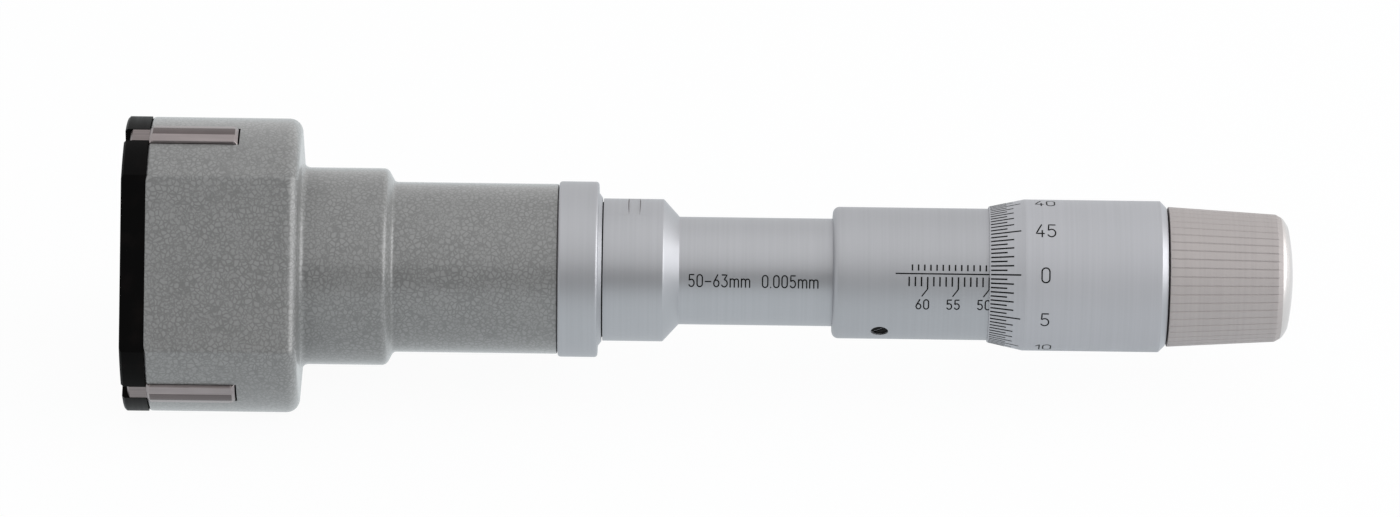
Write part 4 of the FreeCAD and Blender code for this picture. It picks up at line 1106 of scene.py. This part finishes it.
class MICROMETER_OT_barrel(bpy.types.Operator):
    """Coupling with spanner flats, short cone and long tube"""
    bl_idname = "micrometer.barrel"
    bl_label = "Barrel"

    def execute(self, context):
        sizes = context.scene.micrometer_handle
        start, end = stretch("barrel")
        relief = rear("ring_nut")
        relief_end = relief + sizes.relief_width
        relief_radius = sizes.coupling - sizes.relief_depth
        thread_front = end - sizes.nut_length
        soft = sizes.edge_round
        outline = rounded([
            (start, sizes.bore, 0.0),
            (start, sizes.spigot, soft),
            (sizes.spigot_end, sizes.spigot, 0.0),
            (sizes.spigot_end, sizes.flange_radius, 0.0),
            (sizes.flange_end, sizes.flange_radius, 0.0),
            (sizes.flange_end, sizes.coupling, 0.0),
            (relief, sizes.coupling, 0.0),
            (relief, relief_radius, 0.0),
            (relief_end, relief_radius, 0.0),
            (relief_end, sizes.coupling, RELIEF_ROUND),
            (sizes.coupling_end, sizes.coupling, sizes.shoulder_round),
            (sizes.shoulder_end, sizes.tube, soft),
            (end, sizes.tube, soft),
            (end, sizes.thread_bore, 0.0),
            (thread_front, sizes.thread_bore, 0.0),
            (thread_front, sizes.bore, 0.0),
        ])
        barrel = new_object("chromed_barrel", turned(outline, circle(HANDLE_SIDES)))
        spanner_rear = sizes.spanner_front + sizes.spanner_width
        carve(barrel, [
            block(sizes.spanner_front, spanner_rear, sizes.spanner_distance, 2 * sizes.coupling,
                  2 * sizes.coupling, direction, sizes.spanner_lean)
            for direction in (sizes.spanner_direction, sizes.spanner_direction + math.pi)
        ])
        across = outward(sizes.spanner_direction)
        lean_reach = sizes.spanner_lean * (sizes.coupling - sizes.spanner_distance)

        def shaded(point):
            """The relief groove is painted black as shade, and the ends of the spanner flats get darker anvil
            steel as painted shade lines.
            """
            if relief - MERGE_DISTANCE < point.x < relief_end + MERGE_DISTANCE:
                return sizes.bore < off_axis(point) < sizes.coupling - WALL_MARGIN
            past = max(sizes.spanner_front - point.x, point.x - spanner_rear)
            ends = 0.0 < past < lean_reach and abs(point.dot(across)) > sizes.spanner_distance
            return 2 if ends else 0

        # The relief groove takes black oxide and the flats' ends the darker anvil steel, both as painted shade
        show(barrel, "head", ["barrel_chrome", "black_oxide", "anvil_steel"],
             ["barrel"], smooth=30.0, inside=shaded)
        return {"FINISHED"}


class MICROMETER_OT_scale_sleeve(bpy.types.Operator):
    """Scale sleeve with the hole of its lock screw"""
    bl_idname = "micrometer.scale_sleeve"
    bl_label = "Scale sleeve"

    def execute(self, context):
        sizes = context.scene.micrometer_handle
        start, end = stretch("scale_sleeve")
        outline = rounded([
            (start, sizes.sleeve_bore, 0.0),
            (start, sizes.sleeve, sizes.sleeve_round),
            (end, sizes.sleeve, sizes.edge_round),
            (end, sizes.sleeve_bore, 0.0),
        ], steps=8)
        sleeve = new_object("engraved_sleeve", turned(outline, circle(SLEEVE_SIDES)))
        place = Vector((sizes.screw_place, 0.0, 0.0))
        carve(sleeve, [drill(place, sizes.sleeve_bore / 2, 2 * sizes.sleeve, sizes.screw_hole,
                             sizes.screw_hole, turn_to(sizes.screw_direction))])
        show(sleeve, "head", ["sleeve_chrome"], ["scale_sleeve"], smooth=30.0)
        return {"FINISHED"}


class MICROMETER_OT_lock_screw(bpy.types.Operator):
    """Black slotted lock screw in the scale sleeve"""
    bl_idname = "micrometer.lock_screw"
    bl_label = "Lock screw"

    def execute(self, context):
        sizes = context.scene.micrometer_handle
        direction = sizes.screw_direction
        out = outward(direction)
        levels = [vertex.co.dot(out) for vertex in frame["nodes"]["sleeve_set_screw"].data.vertices]
        foot, top = min(levels), max(levels)
        radius = (rear("sleeve_set_screw") - front("sleeve_set_screw")) / 2
        rise = rounded([
            (foot, 0.0, 0.0),
            (foot, radius, sizes.edge_round),
            (top, radius, sizes.edge_round),
            (top, 0.0, 0.0),
        ], steps=3)
        shape = turned(rise, circle(SCREW_SIDES), closed=False)
        upright = Matrix.Rotation(-QUARTER, 4, "Y")
        bmesh.ops.transform(shape, matrix=upright, verts=shape.verts)
        screw = new_object("slotted_lock_screw", shape)
        cutter = block(-2 * radius, 2 * radius, top - sizes.slot_depth, 2 * top,
                       sizes.slot_width / 2, QUARTER)
        cutter.data.transform(Matrix.Rotation(sizes.slot_angle, 4, "Z"))
        carve(screw, [cutter])
        place = Matrix.Translation((sizes.screw_place, 0.0, 0.0)) @ turn_to(direction)
        screw.data.transform(place)
        root = top - sizes.slot_depth + MERGE_DISTANCE

        def slot_floor(point):
            """What lies below the rim of the slot, apart from the screw's foot; it takes light chrome as a painted
            highlight in the slot.
            """
            return point.dot(out) < root and off_axis(point) > 0.9 * root

        # The slot's floor gets the thimble's light chrome: a painted highlight in the black screw
        show(screw, "head", ["black_oxide", "thimble_chrome"], ["sleeve_set_screw"],
             inside=slot_floor)
        return {"FINISHED"}


class MICROMETER_OT_thimble(bpy.types.Operator):
    """Thimble with the bevel that carries the divisions"""
    bl_idname = "micrometer.thimble"
    bl_label = "Thimble"

    def execute(self, context):
        sizes = context.scene.micrometer_thimble
        start, end = stretch("thimble")
        soft = context.scene.micrometer_handle.edge_round
        outline = rounded([
            (start, sizes.bore, 0.0),
            (start, sizes.lip, THIMBLE_LIP_ROUND),
            (start + sizes.bevel, sizes.radius, 0.0),
            (end - sizes.chamfer, sizes.radius, soft),
            (end, sizes.radius - sizes.chamfer, soft),
            (end, sizes.web_bore, 0.0),
            (end - sizes.web, sizes.web_bore, 0.0),
            (end - sizes.web, sizes.bore, 0.0),
        ])
        thimble = new_object("reading_thimble", turned(outline, circle(THIMBLE_SIDES)))
        show(thimble, "thimble", ["thimble_chrome", "chamfer_chrome"], ["thimble"],
             smooth=9.0, inside=lambda point: point.x > end - sizes.chamfer)
        return {"FINISHED"}


class MICROMETER_OT_ratchet_knob(bpy.types.Operator):
    """Tapered ratchet knob with straight grip grooves and a domed end"""
    bl_idname = "micrometer.ratchet_knob"
    bl_label = "Ratchet knob"

    def execute(self, context):
        sizes = context.scene.micrometer_thimble
        start, end = stretch("ratchet_knob")
        curve = (sizes.face_radius ** 2 + sizes.dome ** 2) / (2 * sizes.dome)
        dome = []
        for step in range(1, DOME_STEPS + 1):
            radius = sizes.face_radius * (1 - step / DOME_STEPS)
            dome.append((end - curve + math.sqrt(curve ** 2 - radius ** 2), radius, 0.0))
        face = end - sizes.dome
        taper = sizes.taper
        taper_end = start + taper
        bore_end = start + sizes.knob_bore_depth
        seat_front = front("retaining_ring") - sizes.ring_play
        seat_rear = rear("retaining_ring") + sizes.ring_play
        seat = reach("retaining_ring") + sizes.ring_play
        body = []
        for step in range(1, TAPER_STEPS):
            share = step / TAPER_STEPS
            radius = sizes.knob_front + (sizes.taper_radius - sizes.knob_front) * share
            body.append((start + taper * share, radius, 0.0))
        outline = rounded(
            [(start, sizes.knob_bore, 0.0), (start, sizes.knob_front, KNOB_FRONT_ROUND)] + body
            + [(taper_end, sizes.taper_radius, TAPER_END_ROUND),
               (taper_end + sizes.edge, sizes.edge_radius, sizes.knob_round),
               (face, sizes.face_radius, sizes.knob_round)] + dome
            + [(bore_end + sizes.pilot_depth, 0.0, 0.0),
               (bore_end + sizes.pilot_depth, sizes.pilot, 0.0), (bore_end, sizes.pilot, 0.0),
               (bore_end, sizes.knob_bore, 0.0), (seat_rear, sizes.knob_bore, 0.0),
               (seat_rear, seat, 0.0), (seat_front, seat, 0.0), (seat_front, sizes.knob_bore, 0.0)])
        slope = (sizes.knob_front - sizes.taper_radius) / taper
        floor_radius = sizes.knob_front - sizes.groove_depth
        pitch = 2 * math.pi / sizes.groove_count
        half = sizes.groove_width / (2 * sizes.knob_front)
        # Points beside the floor of a groove: on its wall, at its rim and on the land
        aside = [0.35 * half, 0.8 * half, half, 1.25 * half, 0.36 * pitch]
        offsets = [-0.5 * pitch] + [-offset for offset in aside[::-1]] + [0.0] + aside
        bearings = [(QUARTER + pitch * groove + offset, abs(offset))
                    for groove in range(sizes.groove_count) for offset in offsets]
        inside = seat + WALL_MARGIN

        def section(place, radius):
            """A ring of V-shaped grooves whose floor runs straight along the taper."""
            points = []
            for bearing, offset in bearings:
                level = radius
                if radius > inside and place < face:
                    notch = floor_radius - slope * (place - start)
                    notch += sizes.groove_depth * offset / half
                    level = min(radius, notch)
                points.append((level * math.cos(bearing), level * math.sin(bearing)))
            return points

        knob = new_object("grip_knob", turned(outline, section))
        # Behind the middle of the chamfer the knob takes the lighter chrome, a painted highlight
        highlight_start = taper_end + sizes.edge / 2
        show(knob, "ratchet", ["grip_chrome", "rim_chrome"], ["ratchet_knob"],
             smooth=24.0, inside=lambda point: point.x > highlight_start)
        return {"FINISHED"}


class MICROMETER_OT_scales(bpy.types.Operator):
    """Filled engraving: sleeve scale, thimble divisions, numerals and the range on the tube"""
    bl_idname = "micrometer.scales"
    bl_label = "Scales"

    def execute(self, context):
        scene = context.scene
        sizes = scene.micrometer_engraving
        self.sleeve_scale(sizes, scene.micrometer_handle)
        self.thimble_scale(sizes, scene.micrometer_thimble)
        self.range_text(sizes, scene.micrometer_handle)
        return {"FINISHED"}

    @staticmethod
    def sleeve_scale(sizes, handle):
        """Index line, whole millimetres below it, half millimetres above, and numerals."""
        shape = bmesh.new()
        place = on_surface(lambda along: handle.sleeve, sizes.index_direction)
        end = rear("scale_sleeve") - MM
        stroke(shape, [(sizes.index_start, 0.0), (end, 0.0)], sizes.index_width, place, sizes,
               round_ends=False)

        def mark(along, top, foot):
            """A scale mark between two distances below the index line."""
            stroke(shape, [(along, top), (along, foot)], sizes.mark_width, place, sizes,
                   round_ends=False)

        lowest = front("thimble") - sizes.edge_margin
        for number in range(LOWEST_READING, HIGHEST_READING + 1):
            along = lowest - (number - LOWEST_READING) * MM
            fifth = number % 5 == 0
            mark(along, sizes.mark_gap, sizes.fifth_mark if fifth else sizes.whole_mark)
            if number < HIGHEST_READING:
                mark(along - MM / 2, -sizes.mark_gap, -sizes.half_mark)
            if fifth:
                tail = (along - sizes.tail_shift, sizes.tail_drop)
                stroke(shape, [(along, sizes.fifth_mark), tail], 0.8 * sizes.mark_width, place,
                       sizes)
                write(shape, str(number), along - sizes.numeral_shift, sizes.numeral_base,
                      sizes.numeral_height, sizes.numeral_aspect, sizes.letter_width, place,
                      sizes, centred=True)
        engraved("sleeve_scale", shape, "head")

    @staticmethod
    def thimble_scale(sizes, thimble):
        """Divisions on the bevel and a numeral, which counts hundredths, at every tenth."""
        start = front("thimble")
        slope = (thimble.radius - thimble.lip) / thimble.bevel
        middle = start + sizes.thimble_numeral_place
        shape = bmesh.new()
        numerals = bmesh.new()
        height = sizes.thimble_numeral
        for division in range(DIVISIONS):
            direction = sizes.index_direction + 2 * math.pi * division / DIVISIONS
            end = sizes.division_odd if division % 2 else sizes.division_even
            if division % 10 == 0:
                end = sizes.division_tenth
                write(numerals, str(division // 2), middle, height / 2, height,
                      sizes.thimble_aspect, sizes.bold_width,
                      on_surface(lambda along: thimble.radius, direction), sizes, centred=True)
            place = on_surface(lambda along: thimble.lip + slope * (along - start), direction)
            stroke(shape, [(start + sizes.division_start, 0.0), (start + end, 0.0)],
                   sizes.mark_width, place, sizes, round_ends=False)
        engraved("thimble_divisions", shape, "thimble")
        engraved("thimble_numerals", numerals, "thimble")

    @staticmethod
    def range_text(sizes, handle):
        """Range and reading of the instrument on the tube."""
        shape = bmesh.new()
        place = on_surface(lambda along: handle.tube, sizes.index_direction)
        write(shape, RANGE_TEXT, sizes.text_start, sizes.text_drop + sizes.text_height / 2,
              sizes.text_height, 1.0, sizes.letter_width, place, sizes)
        engraved("range_marking", shape, "head")


class MICROMETER_OT_inner_works(bpy.types.Operator):
    """Finishes of the pieces that keep their own shape: anvils, screws and the hidden works"""
    bl_idname = "micrometer.inner_works"
    bl_label = "Inner works"

    def execute(self, context):
        for row in frame["record"]["subparts"]:
            item = frame["nodes"][row["node"]]
            name = row["material_slot"]
            if row["node"] in [f"anvil_{number}" for number in ANVILS]:
                name = "anvil_steel"
            if name in FINISHES:
                for slot in item.material_slots:
                    slot.material = finish(name)
        return {"FINISHED"}


class MICROMETER_OT_studio(bpy.types.Operator):
    """Pale floor, white surroundings, soft boxes and the camera"""
    bl_idname = "micrometer.studio"
    bl_label = "Studio"

    def execute(self, context):
        settings = context.scene.micrometer_studio
        self.surroundings(context.scene, settings)
        self.floor(settings)
        middle = Vector((settings.camera_place, 0.0, 0.0))
        for name, (away, width, height) in SOFT_BOXES.items():
            self.soft_box(f"{name}_light", middle + away, middle, width, height,
                          getattr(settings, name))
        self.curtain(settings)
        self.camera(context.scene, settings, middle)
        context.scene.view_settings.view_transform = "Standard"
        return {"FINISHED"}

    @staticmethod
    def white_rays(graph):
        """One where a ray comes from the camera, a gloss or glass, and none for matt surfaces."""
        path = graph.node("ShaderNodeLightPath", {}, {}, "Is Camera Ray")
        seen = graph.math("MAXIMUM", path, path.other("Is Glossy Ray"))
        return graph.math("MAXIMUM", seen, path.other("Is Transmission Ray"))

    def surroundings(self, scene, settings):
        """White to the eye and in reflections, dimmer as a light on matt surfaces."""
        scene.world = bpy.data.worlds.new("studio_surroundings")
        scene.world.use_nodes = True
        graph = Graph(scene.world.node_tree)
        seen = self.white_rays(graph)
        strength = seen * (1.0 - settings.ambient) + settings.ambient
        shader = graph.node("ShaderNodeBackground", {}, {"Color": WHITE, "Strength": strength})
        graph.node("ShaderNodeOutputWorld", {}, {"Surface": shader})

    def floor(self, settings):
        """A large floor that the head lies on."""
        shape = bmesh.new()
        bmesh.ops.create_grid(shape, x_segments=8, y_segments=8, size=FLOOR_REACH)
        floor = new_object("studio_floor", shape)
        floor.location.z = CAD_BOX[0][2]
        material, graph = new_material("pale_floor")
        grain = graph.noise(graph.place(), 25.0, 4.0)
        pale = settings.floor_colour
        tint = graph.blend(grain, scaled(pale, FLOOR_GRAIN), scaled(pale))
        matt = graph.node("ShaderNodeBsdfDiffuse", {}, {"Color": tint})
        eye = graph.node("ShaderNodeLightPath", {}, {}, "Is Camera Ray")
        shine = graph.blend(eye, scaled(settings.floor_shine), WHITE)
        white = graph.node("ShaderNodeEmission", {}, {"Color": shine})
        share = self.white_rays(graph) * settings.background_share
        both = graph.node("ShaderNodeMixShader", {}, {0: share, 1: matt, 2: white})
        graph.node("ShaderNodeOutputMaterial", {}, {"Surface": both})
        floor.data.materials.append(material)

    @staticmethod
    def soft_box(name, place, target, width, height, radiance):
        """A soft box that faces a point, as bright as asked."""
        light = bpy.data.lights.new(name, "AREA")
        light.shape = "RECTANGLE"
        light.size = width
        light.size_y = height
        light.energy = radiance * math.pi * width * height
        item = linked(name, light)
        item.location = place
        item.rotation_euler = (target - place).to_track_quat("-Z", "Y").to_euler()

    @staticmethod
    def curtain(settings):
        """A dim curtain behind the camera, which only reflections show."""
        material, graph = new_material("studio_curtain")
        dim = graph.node("ShaderNodeEmission", {}, {"Color": scaled(WHITE, settings.curtain_shade)})
        graph.node("ShaderNodeOutputMaterial", {}, {"Surface": dim})
        (left, right), (low, high) = CURTAIN_ENDS, CURTAIN_EDGES
        corners = [(left, low), (right, low), (right, high), (left, high)]
        shape = bmesh.new()
        shape.faces.new([shape.verts.new((x, CURTAIN_PLACE, z)) for x, z in corners])
        sheet = new_object("studio_curtain", shape)
        sheet.data.materials.append(material)
        sheet.visible_camera = False
        sheet.visible_diffuse = False
        sheet.visible_shadow = False

    @staticmethod
    def camera(scene, settings, middle):
        """The camera of the photograph, square to the index side."""
        lens = bpy.data.cameras.new("studio_camera")
        lens.sensor_width = SENSOR_WIDTH
        lens.lens = settings.focal_pixels * SENSOR_WIDTH / PHOTO_WIDTH
        lens.clip_start = 0.01
        lens.clip_end = 100.0
        item = linked("studio_camera", lens)
        tilt = settings.camera_elevation
        away = Vector((0.0, -math.cos(tilt), math.sin(tilt)))
        up = Vector((0.0, math.sin(tilt), math.cos(tilt)))
        right = Vector((1.0, 0.0, 0.0))
        place = middle + up * settings.camera_rise + away * settings.camera_distance
        square = Matrix((right, up, away)).transposed()
        turn = square @ Matrix.Rotation(settings.camera_roll, 3, "Z")
        item.matrix_world = Matrix.Translation(place) @ turn.to_4x4()
        scene.camera = item


OPERATORS = [
    MICROMETER_OT_studio,
    MICROMETER_OT_inner_works,
    MICROMETER_OT_head,
    MICROMETER_OT_end_cap,
    MICROMETER_OT_contact_strips,
    MICROMETER_OT_ring_nut,
    MICROMETER_OT_barrel,
    MICROMETER_OT_scale_sleeve,
    MICROMETER_OT_lock_screw,
    MICROMETER_OT_thimble,
    MICROMETER_OT_ratchet_knob,
    MICROMETER_OT_scales,
]


class MICROMETER_PT_pieces(bpy.types.Panel):
    """Lists the pieces and their settings"""
    bl_label = "Micrometer"
    bl_idname = "MICROMETER_PT_pieces"
    bl_space_type = "VIEW_3D"
    bl_region_type = "UI"
    bl_category = "Micrometer"

    def draw(self, context):
        pieces = self.layout.column(align=True)
        for operator in OPERATORS:
            pieces.operator(operator.bl_idname)
        for name, group in GROUPS.items():
            box = self.layout.box()
            box.label(text=group.__doc__)
            for setting in group.__annotations__:
                box.prop(getattr(context.scene, name), setting)


def register():
    """Register the settings, the operators and the panel."""
    for name, group in GROUPS.items():
        bpy.utils.register_class(group)
        setattr(bpy.types.Scene, name, bpy.props.PointerProperty(type=group))
    for operator in OPERATORS:
        bpy.utils.register_class(operator)
    bpy.utils.register_class(MICROMETER_PT_pieces)


def unregister():
    """Remove everything that register added."""
    bpy.utils.unregister_class(MICROMETER_PT_pieces)
    for operator in reversed(OPERATORS):
        bpy.utils.unregister_class(operator)
    for name, group in reversed(GROUPS.items()):
        delattr(bpy.types.Scene, name)
        bpy.utils.unregister_class(group)


def main():
    """Build every piece in order."""
    register()
    for operator in OPERATORS:
        family, name = operator.bl_idname.split(".")
        getattr(getattr(bpy.ops, family), name)()


if __name__ == "__main__":
    main()
